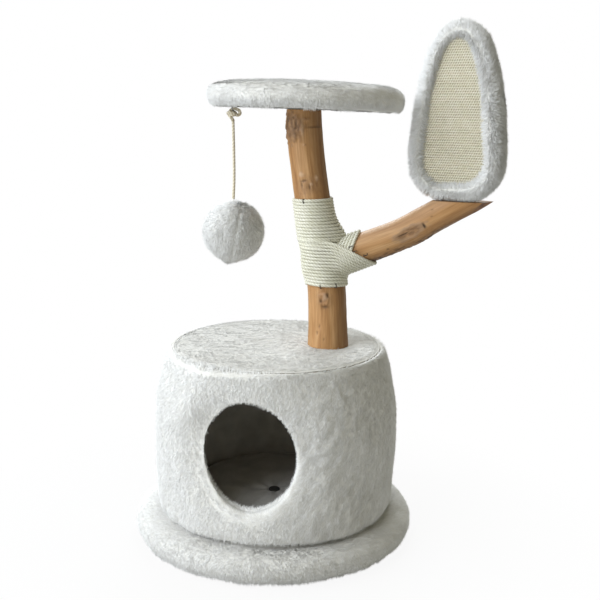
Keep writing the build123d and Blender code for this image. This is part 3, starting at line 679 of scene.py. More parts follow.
roof_radius = 0.1752
roof_low = 0.3300
trunk_foot = (0.089, 0.0)
trunk_hole = 0.0345
roof_creases = ((0.0011, (0.036, 0.009, 1.0), 21), (0.0007, (0.05, 0.006, 1.0), 22))
roof_rings = np.r_[np.linspace(0.0, 0.164, 42), 0.1665, 0.169, 0.171, 0.173, 0.1745, roof_radius]
roof_rise = 0.3338 + 0.0022 * (1 - (roof_rings / roof_radius) ** 2)
roof_rise = roof_rise - 0.0028 * np.clip((roof_rings - 0.166) / 0.0092, 0, 1) ** 2
roof_edge = ((roof_radius, 0.3306), (0.1735, roof_low + 0.0002), (0.0, roof_low + 0.0002))
roof_skin = turned("roof_plush", np.vstack([np.stack([roof_rings, roof_rise], 1), roof_edge]), 200)
plug_place = (*trunk_foot, 0.333)
bpy.ops.mesh.primitive_cylinder_add(vertices=64, radius=trunk_hole, depth=0.06, location=plug_place)
plug = bpy.context.object
finish_with(roof_skin, "BOOLEAN", operation="DIFFERENCE", object=plug, solver="EXACT")
bpy.data.objects.remove(plug)
places, normals = places_of(roof_skin), normals_of(roof_skin)
inside = smooth_step(-off_axis(places), -0.172, -0.155)
top = smooth_step(normals[:, 2], 0.5, 0.9) * inside
move_to(roof_skin, places + np.outer(top * uneven(places, roof_creases), (0, 0, 1.0)))
dress(roof_skin, plush, "stand", "plush", "roof_cover")


def comb_roof(root, normal):
    """To the right and the front, in waves."""
    return np.stack([np.ones(len(root)), -0.5 + 0.4 * clouds(root, 0.05, 23), np.zeros(len(root))], 1)


def cover_roof(middle, facing):
    """The top of the disc, outside the log."""
    off = off_axis(middle, *trunk_foot)
    return ((facing[:, 2] > 0.3) & (off > trunk_hole + 0.001)) * 1.0


add_pile("roof_pile", roof_skin, comb_roof, cover_roof, count=30000, seed=24, length=0.0050, lift=0.28,
         grain=(0.022, 0.010, 0.02))

seam_radius, seam_height, seam_half = 0.1760, 0.3310, 0.0012
seam_sides = 12
piping = []
for k in range(seam_sides + 1):
    turn = 2 * math.pi * k / seam_sides
    piping.append((seam_radius + seam_half * math.cos(turn), seam_height + seam_half * math.sin(turn)))
roof_piping = turned("roof_seam", piping, 200)
places = places_of(roof_piping)
stitch = 0.0003 * np.sin(bearing(places) * 260) + 0.0004 * clouds(places, 0.02, 25)
move_to(roof_piping, places + np.outer(stitch, (0, 0, 1.0)))
dress(roof_piping, plush, "stand", "plush", "roof_piping")


# Cushion: a loose round cushion of thin grey cloth on the floor of the house, drawn in by one button.
# A cloth simulation blows it up a little, held at its button, seam and underside. The folds that run to
# the button are added after that.

cushion_profile = (
    (0.0, 0.0930), (0.040, 0.0928), (0.080, 0.0915), (0.110, 0.0880), (0.132, 0.0820), (0.1440, 0.0770),
    (0.1470, 0.0746), (0.1440, 0.0712), (0.130, 0.0652), (0.112, 0.0632), (0.060, 0.0626), (0.0, 0.0626),
)
cushion_seam = 0.0746
cushion_tuft = np.array((0.008, -0.054))
tuft_depth, tuft_width, button_bed = 0.0062, 0.014, 0.0866
fold_height, wrinkle_height = 0.0030, 0.0022


def puff(piece, held, pressure, frames, cap):
    """Blows a closed piece up with air for some frames; held says which points stay."""
    start = places_of(piece)
    group = piece.vertex_groups.new(name="held")
    group.add([int(k) for k in np.nonzero(held)[0]], 1.0, "REPLACE")
    cloth = piece.modifiers.new("cloth", "CLOTH")
    cloth.settings.use_pressure = True
    cloth.settings.uniform_pressure_force = pressure
    cloth.settings.vertex_group_mass = "held"
    cloth.settings.effector_weights.gravity = 0.0
    cloth.collision_settings.use_collision = False
    cloth.point_cache.frame_start = 1
    cloth.point_cache.frame_end = frames
    for number in range(1, frames + 1):
        bpy.context.scene.frame_set(number)
    choose(piece)
    bpy.ops.object.modifier_apply(modifier=cloth.name)
    bpy.context.scene.frame_set(1)
    step = places_of(piece) - start
    far = np.linalg.norm(step, axis=1, keepdims=True)
    move_to(piece, start + step * np.minimum(1, cap / np.maximum(far, 1e-9)))


house_cushion = turned("house_cushion_cloth", flowing(cushion_profile, 0.006), 120)
finish_with(house_cushion, "REMESH", mode="VOXEL", voxel_size=0.005, use_smooth_shade=True)
places = places_of(house_cushion)
radius = off_axis(places)
off = off_axis(places, *cushion_tuft)
places[:, 2] -= tuft_depth * hump(off, 0.0, tuft_width) * smooth_step(places[:, 2], 0.075, 0.085)
move_to(house_cushion, places)
seam_held = (np.abs(places[:, 2] - cushion_seam) < 0.003) & (radius > 0.143)
under = places[:, 2] < 0.0645
drawn_in = (off < 0.010) & (places[:, 2] > 0.08)
puff(house_cushion, drawn_in | seam_held | under, pressure=4.0, frames=20, cap=0.006)
finish_with(house_cushion, "SUBSURF", levels=1, render_levels=1)
places = places_of(house_cushion)
off = off_axis(places, *cushion_tuft)
around = bearing(places, *cushion_tuft)
upper = smooth_step(places[:, 2], 0.080, 0.087) * smooth_step(off, 0.008, 0.02)
fold = np.cos(7 * around + 3 * clouds(places, 0.06, 31)) * np.exp(-off / 0.04) * fold_height
fold += wrinkle_height * clouds(places, (0.05, 0.03, 1.0), 32) * smooth_step(off, 0.03, 0.06)
places[:, 2] = np.clip(places[:, 2] + upper * (fold - 0.0015), 0.0618, 0.0974)
near_tuft = smooth_step(-off, -0.012, -0.009) * (places[:, 2] > 0.08)
places[:, 2] = places[:, 2] + (np.minimum(places[:, 2], button_bed) - places[:, 2]) * near_tuft
move_to(house_cushion, places)

cushion_cloth = grouped("cushion_cloth", 0.85, woven_cloth, 0.25, 0.0004, Dark=(0.34, 0.325, 0.30, 1),
                        Light=(0.45, 0.435, 0.41, 1), Patches=24.0, Threads=300.0)
cushion_cloth.node_tree.nodes["Principled BSDF"].inputs["Sheen Weight"].default_value = 0.15
dress(house_cushion, cushion_cloth, "cushion", "cushion", "house_cushion")

button_cloth = flecked("button", 0.7, 400.0, (0.01, 0.01, 0.01), (0.03, 0.028, 0.027))[0]
keep_nodes(button_cloth, "cushion_button")


# Log: a natural tree log without its bark, sawn off square at both ends, with knots and an old scar.
# It stands on the roof, held by a bolt from below through the roof board.

trunk_line = (
    (0.0890, 0.330, 0.0350), (0.0880, 0.372, 0.0330), (0.0860, 0.420, 0.0320), (0.0790, 0.478, 0.0310),
    (0.0690, 0.520, 0.0303), (0.0585, 0.584, 0.0290), (0.0500, 0.640, 0.0290), (0.0445, 0.690, 0.0287),
    (0.0420, 0.752, 0.0283),
)
trunk_top = 0.7285
log_step = 0.0019
log_around = 112
scar_height, scar_uneven, scar_pit_depth = 0.0030, 0.0012, 0.0014
pit_depth, chip_height, hollow_depth, facet_depth = 0.0011, 0.0013, 0.0006, 0.0016
knot_height, knot_ring = 0.0010, 0.0009


def log_grid(line):
    """Points round a log's smooth middle line, with how far along and at which angle each one lies."""
    course = flowing(line, log_step)
    along = np.r_[0, np.cumsum(np.linalg.norm(np.diff(course[:, :2], axis=0), axis=1))]
    way = unit(np.gradient(course[:, :2], along, axis=0))
    angle = 2 * np.pi * np.arange(log_around) / log_around
    left = np.stack([-way[:, 1], 0 * along, way[:, 0]], 1)
    front = np.array((0, -1.0, 0))
    out = left[:, None] * np.cos(angle)[None, :, None] + front * np.sin(angle)[None, :, None]
    middle = np.stack([course[:, 0], 0 * along, course[:, 1]], 1)
    return middle, along, angle, out, course[:, 2]


def around_log(along, angle, tight, pitch, shift):
    """A cloud pattern over a log's grid: tight says how fine it is round the log, pitch along it."""
    rows = []
    for place in along:
        row = [(tight * math.cos(a), tight * math.sin(a), place * pitch + shift) for a in angle]
        rows.append([noise.noise(Vector(spot)) for spot in row])
    return np.array(rows)


def spread_marks(along, angle, radius, marks, fray=0.0, edge=1.5):
    """How strongly each point lies in an oval mark: (along, angle in degrees, half length, half width)."""
    total = np.zeros((len(along), len(angle)))
    for place, turn, half_length, half_width in marks:
        off = (np.degrees(angle)[None, :] - turn + 180) % 360 - 180
        wide = np.radians(off) * radius[:, None] / half_width
        far = ((along[:, None] - place) / half_length) ** 2 + wide ** 2
        total = np.maximum(total, np.exp(-(far * (1 + fray)) ** edge))
    return total


def log_piece(name, middle, along, angle, out, radius):
    """A closed log from its grid of radii, with coordinates that follow the grain."""
    points = (middle[:, None] + out * radius[:, :, None]).reshape(-1, 3)
    rows, count = len(along), len(angle)
    faces = band_faces(rows, count)
    low, high = len(points), len(points) + 1
    points = np.vstack([points, middle[:1], middle[-1:]])
    for j in range(count):
        faces.append((low, (j + 1) % count, j))
        faces.append((high, (rows - 1) * count + j, (rows - 1) * count + (j + 1) % count))
    log = new_piece(name, points, faces)
    face_outwards(log)
    bpy.ops.object.shade_smooth_by_angle(angle=math.radians(50))
    lengthwise = np.broadcast_to(along[:, None], radius.shape)
    grain = np.stack([radius * np.cos(angle), radius * np.sin(angle), lengthwise], 2)
    grain = np.vstack([grain.reshape(-1, 3), [(0, 0, along[0])], [(0, 0, along[-1])]])
    add_values(log, "grain", grain)
    return log


def log_values(log, name, values):
    """Gives the log a value for each point of its grid; the two end middles get none."""
    add_values(log, name, np.r_[values.ravel(), 0.0, 0.0])


middle, along, angle, out, radius = log_grid(trunk_line)
degree = np.degrees(angle)
radius = radius[:, None] * np.ones(log_around)[None, :]
rough = around_log(along, angle, 3, 22, 0)
ripple = around_log(along, angle, 7, 60, 9)
lumps = around_log(along, angle, 5, 170, 3)
crumbs = around_log(along, angle, 11, 330, 5)
radius = radius + 0.0010 * rough + 0.0003 * ripple
scar = spread_marks(along, angle, radius[:, 0], ((0.3745, 54, 0.0225, 0.0215),), 0.9 * lumps, 3)
hollow = spread_marks(along, angle, radius[:, 0], ((0.277, 94, 0.016, 0.021),), 0.9 * lumps)
low_knot = spread_marks(along, angle, radius[:, 0], ((0.0895, 88, 0.015, 0.012),), 0.4 * lumps)
pits = spread_marks(along, angle, radius[:, 0], (
    (0.287, 78, 0.0016, 0.0060), (0.2760, 96, 0.0050, 0.0016), (0.2810, 70, 0.0040, 0.0014),
    (0.0870, 79, 0.0030, 0.0020), (0.0960, 100, 0.0040, 0.0020), (0.0770, 92, 0.0024, 0.0060),
    (0.032, 66, 0.0030, 0.0012), (0.0437, 73, 0.0040, 0.0010), (0.0224, 86, 0.0030, 0.0010),
), 0.8 * crumbs)
scar_pits = scar * smooth_step(lumps + 0.4 * crumbs, 0.06, 0.42)
pale = spread_marks(along, angle, radius[:, 0], (
    (0.2965, 76, 0.0036, 0.0040), (0.2890, 122, 0.0040, 0.0026), (0.2805, 102, 0.0026, 0.0020),
    (0.3705, 92, 0.0180, 0.0022), (0.0930, 92, 0.0055, 0.0040),
), 0.9 * lumps)
facet = smooth_step(along, 0.3705, 0.3725)[:, None] * hump(degree, 138, 38, 4)[None, :]
ring = np.cos(np.clip(1 - low_knot, 0, 1) * 14)
radius = radius + scar * (scar_height + scar_uneven * rough) - pits * pit_depth + pale * chip_height
radius = radius - hollow * hollow_depth - scar_pits * scar_pit_depth
radius = radius + low_knot * (knot_height - knot_ring * ring) - facet * facet_depth
keep = middle[:, 2] < trunk_top
trunk = log_piece("trunk_log", middle[keep], along[keep], angle, out[keep], radius[keep])
# Painted shade: a dark line along the facet's lower step, darker at the foot where the log stands in the
# roof's plush, on the right side turned away from the key lamp, and on the sawn facet under the perch.
step_shade = hump(along, 0.3712, 0.0010)[:, None] * hump(degree, 136, 34, 6)[None, :]
foot_shade = np.broadcast_to(smooth_step(-along, -0.006, -0.001)[:, None], radius.shape)
shaded = np.broadcast_to(smooth_step(-np.abs(degree - 200), -110, -45)[None, :], radius.shape)
log_values(trunk, "knot", np.maximum(0.95 * scar, np.maximum(0.62 * hollow, 0.6 * low_knot))[keep])
log_values(trunk, "dark", np.clip(pits * 0.6 + scar_pits * 0.42 + step_shade * 0.8 + foot_shade * 0.5, 0, 1)[keep])
log_values(trunk, "pale", (0.4 * pale)[keep])
log_values(trunk, "painted_shade", np.maximum(shaded, 0.5 * facet)[keep])

log_wood, tree, shader, spot = new_material("log_wood", 0.5)
shader.inputs["Specular IOR Level"].default_value = 0.3
shader.inputs["Coat Weight"].default_value = 0.06
shader.inputs["Coat Roughness"].default_value = 0.35
grain = read_values(tree, "grain", "Vector")
fine = speckle(tree, stretched(tree, grain, (420, 420, 16)), 1.0, 4.0)
broad = speckle(tree, stretched(tree, grain, (75, 75, 7)), 1.0, 3.0)
knot = read_values(tree, "knot")
dark = read_values(tree, "dark")
pale_and_lit = read_values(tree, "pale")
shade_share = read_values(tree, "painted_shade")
shade = ramp(tree, broad, (0.28, (0.34, 0.165, 0.058, 1)), (0.5, (0.48, 0.262, 0.108, 1)),
             (0.72, (0.59, 0.358, 0.170, 1)))
streaks = ramp(tree, fine, (0.3, (0.60, 0.52, 0.42, 1)), (0.65, (1, 1, 1, 1)))
shade = blend(tree, 0.62, shade, streaks, "MULTIPLY")
# Painted shade: the shaded side of the log and the branch, darkened towards dark brown.
shade = blend(tree, figure(tree, "MULTIPLY", shade_share, 0.66), shade, (0.15, 0.070, 0.024, 1))
rings = speckle(tree, stretched(tree, grain, (230, 230, 90)), 1.0, 5.0)
scarred = ramp(tree, rings, (0.3, (0.115, 0.055, 0.025, 1)), (0.7, (0.38, 0.215, 0.105, 1)))
shade = blend(tree, figure(tree, "MULTIPLY", knot, 0.92), shade, scarred)
# Pale chips and the scar's pale rim, and along the branch's top a painted highlight.
shade = blend(tree, pale_and_lit, shade, (0.64, 0.46, 0.32, 1))
# Dark pits and specks, and on the trunk painted shade at its foot and along the facet's step.
shade = blend(tree, dark, shade, (0.035, 0.018, 0.009, 1))
tree.links.new(shade, shader.inputs["Base Color"])
polish = ramp(tree, fine, (0.3, (0.60, 0.60, 0.60, 1)), (0.7, (0.42, 0.42, 0.42, 1)))
tree.links.new(polish, shader.inputs["Roughness"])
raise_by(tree, shader, figure(tree, "ADD", fine, figure(tree, "MULTIPLY", rings, knot)), 0.4, 0.0008)
dress(trunk, log_wood, "stand", "log", "trunk")
keep_nodes(steel, "trunk_bolt", "trunk_washer", "trunk_nut")


# Branch: a second piece of the same wood, coped on to the log and held by a dowel screw.
# Its end is sawn at a slant and its upper side is cut flat as a seat for the scratcher.

branch_line = (
    (0.0700, 0.4740, 0.0275), (0.1100, 0.4890, 0.0270), (0.1500, 0.5050, 0.0263), (0.2045, 0.5276, 0.0254),
    (0.2535, 0.5557, 0.0252), (0.3020, 0.5835, 0.0250), (0.3520, 0.6120, 0.0250), (0.3800, 0.6280, 0.0250),
)
seat_height = 0.585
branch_tip = (0.347, 0.0, 0.585)
branch_tip_normal = (0.60, -0.38, -0.70)

middle, along, angle, out, radius = log_grid(branch_line)
keep = along > 0.022
middle, along, out, radius = middle[keep], along[keep], out[keep], radius[keep]
radius = radius[:, None] * np.ones(log_around)[None, :]
rough = around_log(along, angle, 2.4, 18, 40)
flakes = around_log(along, angle, 6, 120, 70)
crumbs = around_log(along, angle, 11, 300, 75)
radius = radius + 0.0011 * rough
scar = spread_marks(along, angle, radius[:, 0], ((0.1625, 94, 0.0260, 0.0092),), 0.6 * flakes, 3)
rim = np.clip(4 * scar * (1 - scar), 0, 1)
lump = spread_marks(along, angle, radius[:, 0], ((0.172, 145, 0.026, 0.016),))
low_side = hump(degree, 158, 24)[None, :]
near_root = 0.35 * smooth_step(-along, -0.14, -0.09)[:, None]
bark = low_side * smooth_step(flakes + 0.5 * crumbs + near_root, 0.14, 0.36)
bark = bark * smooth_step(-along, -0.25, -0.19)[:, None]
specks = spread_marks(along, angle, radius[:, 0], (
    (0.1207, 120, 0.0020, 0.0012), (0.2114, 58, 0.0012, 0.0012), (0.2059, 80, 0.0012, 0.0010),
    (0.1885, 97, 0.0020, 0.0055), (0.250, 25, 0.0040, 0.0020), (0.152, 90, 0.0110, 0.0008),
), 0.6 * crumbs)
specks = np.maximum(specks, 0.2 * scar * smooth_step(flakes + 0.3 * crumbs, 0.14, 0.50))
radius = radius + lump * 0.0022 - scar * (0.0013 + 0.0009 * flakes) + rim * 0.0007
radius = radius + bark * 0.0006 - specks * 0.0006
branch = log_piece("branch_log", middle, along, angle, out, radius)
# Painted shade on the branch's underside.
shaded = np.broadcast_to(smooth_step(-np.abs(degree - 190), -80, -35)[None, :], radius.shape)
log_values(branch, "knot", scar)
log_values(branch, "dark", np.clip(specks * 0.8 + bark * 0.85 + 0.22 * rim, 0, 1))
# A painted highlight along the branch's top; the scar's rim is pale too.
lit_top = np.exp(-((np.minimum(np.abs(degree - 15), 375 - degree)) / 42) ** 2)[None, :]
log_values(branch, "pale", np.clip(0.25 * rim + 0.4 * lit_top * (1 - scar), 0, 1))
log_values(branch, "painted_shade", shaded)

cut_wood, tree, shader, spot = new_material("cut_wood", 0.7)
teeth = {"Vector": spot, "Scale": 120.0, "Distortion": 4.0}
saw_lines = node(tree, "ShaderNodeTexWave", teeth, bands_direction="X").outputs["Fac"]
sawn = speckle(tree, spot, 130.0, 5.0)
shade = ramp(tree, sawn, (0.3, (0.10, 0.038, 0.013, 1)), (0.7, (0.30, 0.14, 0.052, 1)))
scratches = ramp(tree, saw_lines, (0.0, (0.5, 0.42, 0.36, 1)), (1.0, (1, 1, 1, 1)))
shade = blend(tree, 0.3, shade, scratches, "MULTIPLY")
tree.links.new(shade, shader.inputs["Base Color"])
raise_by(tree, shader, saw_lines, 0.3, 0.0004)


def saw_off(piece, place, normal, material):
    """Cuts away what lies beyond a plane and closes the cut with a face in one of the piece's materials."""
    choose(piece)
    bpy.ops.object.mode_set(mode="EDIT")
    bpy.ops.mesh.select_all(action="SELECT")
    bpy.ops.mesh.bisect(plane_co=place, plane_no=normal, use_fill=True, clear_outer=True)
    bpy.ops.object.mode_set(mode="OBJECT")
    unit_normal = Vector(normal).normalized()
    for face in piece.data.polygons:
        if len(face.vertices) > 8 and abs(face.normal.dot(unit_normal)) > 0.99:
            face.material_index = material
            face.use_smooth = False


branch.data.materials.append(log_wood)
branch.data.materials.append(cut_wood)
saw_off(branch, (0, 0, seat_height), (0, 0, 1), 0)
saw_off(branch, branch_tip, branch_tip_normal, 1)
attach(branch, "stand")
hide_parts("branch")
keep_nodes(steel, "branch_bolt")


# Rope: sisal rope of three strands, wound tight round the log and slung under the branch where they meet.
# Shorter turns saddle the branch first; the slings cover their ends. Small staples pin it.

rope_thick = 0.0059
rope_lay = 0.0171
rope_seat = 0.0005
rope_reach = rope_thick / 2 - rope_seat
rope_strands, rope_sides = 3, 12
rope_hollow = 0.16


def wound_rope(name, path, thick, lay, strands, sides, hollow):
    """A laid rope along a path: a tube whose section has one lobe for each strand and turns along it."""
    path = np.asarray(path, float)
    along = np.r_[0, np.cumsum(np.linalg.norm(np.diff(path, axis=0), axis=1))]
    way = unit(np.gradient(path, along, axis=0))
    first = np.cross(way[0], (0.3, 0.4, 0.86))
    frames = [first / np.linalg.norm(first)]
    for k in range(1, len(path)):
        carried = frames[-1] - way[k] * np.dot(frames[-1], way[k])
        frames.append(carried / np.linalg.norm(carried))
    first = np.array(frames)
    second = np.cross(way, first)
    turn = 2 * np.pi * np.arange(sides) / sides
    lobes = np.abs(np.cos(strands * turn / 2))
    reach = thick / 2 * (1 - hollow * (1 - lobes))
    spin = 2 * np.pi * along[:, None] / lay + turn[None, :]
    ring = first[:, None] * np.cos(spin)[:, :, None] + second[:, None] * np.sin(spin)[:, :, None]
    points = (path[:, None] + ring * reach[None, :, None]).reshape(-1, 3)
    rope = new_piece(name, points, tube_faces(len(path), sides))
    bpy.ops.object.shade_smooth()
    # Where the strands meet, for the painted shade in the grooves.
    add_values(rope, "groove", np.tile(1 - lobes, len(path)))
    lengthwise = np.broadcast_to(along[:, None], spin.shape)
    lay_space = np.stack([lengthwise * 0 + np.cos(turn), lengthwise * 0 + np.sin(turn), lengthwise], 2)
    add_values(rope, "lay", lay_space)
    return rope


def sisal_rope(name, path):
    """The rope of the log and the branch along a path."""
    return wound_rope(name, path, rope_thick, rope_lay, rope_strands, rope_sides, rope_hollow)


trunk_course = flowing(trunk_line, 0.001)
branch_course = flowing(branch_line, 0.001)


def at_height(z):
    """The log's middle line and radius at a height."""
    heights = trunk_course[:, 1]
    return np.interp(z, heights, trunk_course[:, 0]), np.interp(z, heights, trunk_course[:, 2])


def at_distance(d):
    """The branch's middle line, its direction and radius at a distance from its root."""
    run = np.r_[0, np.cumsum(np.linalg.norm(np.diff(branch_course[:, :2], axis=0), axis=1))]
    x, z, r = (np.interp(d, run, branch_course[:, k]) for k in range(3))
    x2, z2 = (np.interp(d + 0.004, run, branch_course[:, k]) for k in range(2))
    way = np.array((x2 - x, z2 - z))
    return x, z, way / np.linalg.norm(way), r


def plain_turn(turn, height, bulge, sink=0.0):
    """Where a level turn lies on the log, pushed out at the right by what is under it."""
    x, r = at_height(height)
    spread = r + rope_reach - sink
    push = bulge * max(0.0, math.cos(turn)) ** 2
    return np.array((x + (spread + push) * math.cos(turn), -spread * math.sin(turn), height))


def pulled_tight(run, height):
    """The line that a string pulled over a row of heights takes."""
    kept = []
    for point in zip(run, height):
        while len(kept) > 1:
            (x1, y1), (x2, y2) = kept[-2:]
            if (x2 - x1) * (point[1] - y1) - (y2 - y1) * (point[0] - x1) < 0:
                break
            kept.pop()
        kept.append(point)
    return np.interp(run, *np.array(kept).T)


def sling_half(left_height, right_end):
    """Half a turn seen from the side: level on the log, then down to its end at the right, and how wide."""
    x, r = at_height(left_height)
    left = x - r - rope_reach
    share = (1 - np.cos(np.linspace(0, np.pi, 61))) / 2
    across = left + (right_end[0] - left) * share
    bend = x + sling_bend * r
    fall = np.clip((across - bend) / (right_end[0] - bend), 0, 1) ** sling_curl
    height = left_height + (right_end[1] - left_height) * fall
    log_x, log_r = at_height(height)
    on_log = (log_r + rope_reach) ** 2 - (across - log_x) ** 2
    off = np.hypot(across[:, None] - branch_course[None, :, 0], height[:, None] - branch_course[None, :, 1])
    nearest = off.argmin(1)
    on_branch = (branch_course[nearest, 2] + rope_reach + sling_lift) ** 2 - off.min(1) ** 2
    wide = np.sqrt(np.maximum(np.maximum(on_log, on_branch), 0))
    run = np.r_[0, np.cumsum(np.hypot(np.diff(across), np.diff(height)))]
    return across, pulled_tight(run, wide), height


rope_pitch = 0.00518
steps_per_turn = 130
upper_low, upper_high = 0.5163, 0.5835
upper_start = 1.2
upper_bulge, upper_bulge_height, upper_bulge_width = 0.0125, 0.522, 0.022
upper_turns = int(round((upper_high - upper_low) / rope_pitch))
upper_path = []
for k in range(upper_turns * steps_per_turn + 1):
    t = k / steps_per_turn
    z = upper_high - (upper_high - upper_low) * t / upper_turns
    bulge = upper_bulge * hump(z, upper_bulge_height, upper_bulge_width)
    upper_path.append(plain_turn(2 * math.pi * t - upper_start, z, bulge))

sling_turns, plain_turns = 9, 5
sling_left = (0.5142, 0.4395)
sling_distance = (0.0934, 0.0420)
sling_bend, sling_curl, sling_lift = 0.88, 1.16, 0.0016
lower_path = []
for k in range((sling_turns + plain_turns) * steps_per_turn + 1):
    t = k / steps_per_turn
    left_height = sling_left[0] + (sling_left[1] - sling_left[0]) * t / (sling_turns + plain_turns)
    share = min(1.0, t / sling_turns)
    x, z, way, r = at_distance(sling_distance[0] + (sling_distance[1] - sling_distance[0]) * share)
    reach = r + rope_reach + sling_lift
    right_end = np.array((x + way[1] * reach, z - way[0] * reach))
    if t > sling_turns:
        share = (t - sling_turns) / plain_turns
        height = right_end[1] + (sling_left[1] - right_end[1]) * share
        x, r = at_height(height)
        on_log = np.array((x + r + rope_reach, height))
        right_end = right_end + (on_log - right_end) * min(1.0, 2 * share)
        right_end[1] = height
    across, wide, height = sling_half(left_height, right_end)
    part = 2 * (t % 1)
    place, side = (part, -1) if part <= 1 else (2 - part, 1)
    steps = np.linspace(0, 1, len(across))
    x, y, z = (np.interp(place, steps, row) for row in (across, wide, height))
    lower_path.append((x, side * y, z))
lower_path = np.array(lower_path)
for smoothing in range(3):
    lower_path[1:-1] = 0.5 * lower_path[1:-1] + 0.25 * (lower_path[:-2] + lower_path[2:])

# Laid fibre: strands of plant fibre, with painted shade in the grooves between them
laid_fibre, taken, given = new_group("laid_fibre", (
    ("Dark", "NodeSocketColor", (0.5, 0.5, 0.5, 1)), ("Light", "NodeSocketColor", (0.8, 0.8, 0.8, 1)),
    ("Groove", "NodeSocketColor", (0.3, 0.3, 0.2, 1)), ("Depth", "NodeSocketFloat", 0.7),
    ("Length", "NodeSocketFloat", 90.0),
), (("Colour", "NodeSocketColor"), ("Height", "NodeSocketFloat")))
lay = read_values(laid_fibre, "lay", "Vector")
groove = read_values(laid_fibre, "groove")
run = node(laid_fibre, "ShaderNodeCombineXYZ", {0: 5.0, 1: 5.0, 2: taken.outputs["Length"]}).outputs[0]
strand = node(laid_fibre, "ShaderNodeVectorMath", {0: lay, 1: run}, operation="MULTIPLY").outputs[0]
fibre = speckle(laid_fibre, strand, 1.0, 5.0)
share = node(laid_fibre, "ShaderNodeMapRange", {0: fibre, 1: 0.3, 2: 0.7}).outputs[0]
shade = blend(laid_fibre, share, taken.outputs["Dark"], taken.outputs["Light"])
spot = node(laid_fibre, "ShaderNodeTexCoord").outputs["Object"]
patch = speckle(laid_fibre, spot, 55.0)
patch = ramp(laid_fibre, patch, (0.35, (0.86, 0.87, 0.78, 1)), (0.65, (1, 1, 1, 1)))
shade = blend(laid_fibre, 0.4, shade, patch, "MULTIPLY")
# Painted shade in the grooves between the strands.
deep = figure(laid_fibre, "MULTIPLY", groove, taken.outputs["Depth"])
laid_fibre.links.new(blend(laid_fibre, deep, shade, taken.outputs["Groove"]), given.inputs["Colour"])
laid_fibre.links.new(fibre, given.inputs["Height"])

sisal = grouped("sisal", 0.75, laid_fibre, 0.6, 0.0007, Dark=(0.64, 0.61, 0.47, 1),
                Light=(0.93, 0.925, 0.86, 1), Groove=(0.36, 0.33, 0.21, 1), Depth=0.5, Length=90.0)

trunk_rope_upper = sisal_rope("trunk_winding_upper", upper_path)
trunk_rope_lower = sisal_rope("trunk_winding_lower", lower_path)
under_places = ((0.5160, 0.0090, -0.0006), (0.5104, 0.0050, 0.0012), (0.5048, 0.0, 0.0012))
under_start, under_sweep, under_steps = 14, 332, 120
under_turns = [trunk_rope_upper]
for k, (height, bulge, sink) in enumerate(under_places):
    turns = [math.radians(under_start + under_sweep * j / under_steps) for j in range(under_steps + 1)]
    arc = [plain_turn(turn, height, bulge, sink) for turn in turns]
    under_turns.append(sisal_rope("under_turn_%d" % (k + 1), arc))
choose(*under_turns)
bpy.ops.object.join()
dress(trunk_rope_upper, sisal, "stand", "sisal", "trunk_rope")
dress(trunk_rope_lower, sisal, "stand", "sisal", "trunk_rope")

saddle_turns = 7
saddle_top = (0.046, 0.0835)
saddle_side = (0.019, 0.0600)
saddle_sink = 0.0035
saddle_start, saddle_sweep, saddle_steps = -35, 250, 60
saddles = []
for k in range(saddle_turns):
    share = k / (saddle_turns - 1)
    near = saddle_side[0] + (saddle_side[1] - saddle_side[0]) * share
    far = saddle_top[0] + (saddle_top[1] - saddle_top[0]) * share
    path = []
    for j in range(saddle_steps + 1):
        turn = math.radians(saddle_start + saddle_sweep * j / saddle_steps)
        lift = max(0.0, math.sin(turn)) ** 1.2
        x, z, way, r = at_distance(near + (far - near) * lift)
        reach = r + rope_reach - saddle_sink * max(0.0, 0.35 - math.sin(turn))
        up, forward = reach * math.sin(turn), reach * math.cos(turn)
        path.append((x - way[1] * up, -forward, z + way[0] * up))
    name = "branch_saddle_%d" % (k + 1)
    saddles.append(sisal_rope(name, flowing(path, 0.0015)))
choose(*saddles)
bpy.ops.object.join()
branch_saddle = saddles[0]
branch_saddle.name = "branch_saddle"
dress(branch_saddle, sisal, "stand", "sisal", "branch_rope")

wire, tree, shader, fleck = flecked("staple_wire", 0.6, 600.0, (0.03, 0.024, 0.018), (0.09, 0.075, 0.06))
shader.inputs["Metallic"].default_value = 0.5
keep_nodes(wire, "rope_staples")


# Perch: a round padded shelf with a crowned top in white plush, bolted to the top of the log.
# It leans a little down to the right. A felt sheet closes its underside.

perch_place = Vector((0.0435, 0.0, 0.728))
perch_tilt = math.radians(1.7)
perch_profile = (
    (0.0, 0.0425), (0.060, 0.0417), (0.110, 0.0390), (0.138, 0.0352), (0.1502, 0.0303), (0.1560, 0.0235),
    (0.1574, 0.0165), (0.1556, 0.0092), (0.1508, 0.0036), (0.1446, 0.0002), (0.1402, -0.0010),
)
perch_board_radius = 0.147
perch_lumps = ((0.0011, 0.05, 41), (0.0005, 0.016, 42))
perch_swell = 0.0022


def set_on_log(piece):
    """Puts a piece made at the origin on the log's top, leaning as the shelf does."""
    lean = Matrix.Translation(perch_place) @ Matrix.Rotation(perch_tilt, 4, "Y")
    piece.data.transform(lean)
    piece.data.update()


perch_inside = (
    (0.1402, 0.0002), (perch_board_radius + 0.0003, 0.0004),
    (perch_board_radius + 0.0003, 0.0168), (0.0, 0.0168),
)
perch_skin = turned("perch_plush", np.vstack([flowing(perch_profile, 0.005), perch_inside]), 200)
places, normals = places_of(perch_skin), normals_of(perch_skin)
outer = (places[:, 2] > 0.0003) & ((normals[:, 2] > 0.2) | (off_axis(places) > 0.149))
wave = uneven(places, perch_lumps) + perch_swell * smooth_step(places[:, 0], 0.09, 0.15)
move_to(perch_skin, places + normals * (wave * outer)[:, None])
set_on_log(perch_skin)
dress(perch_skin, plush, "stand", "plush", "perch_cover", "perch_foam")


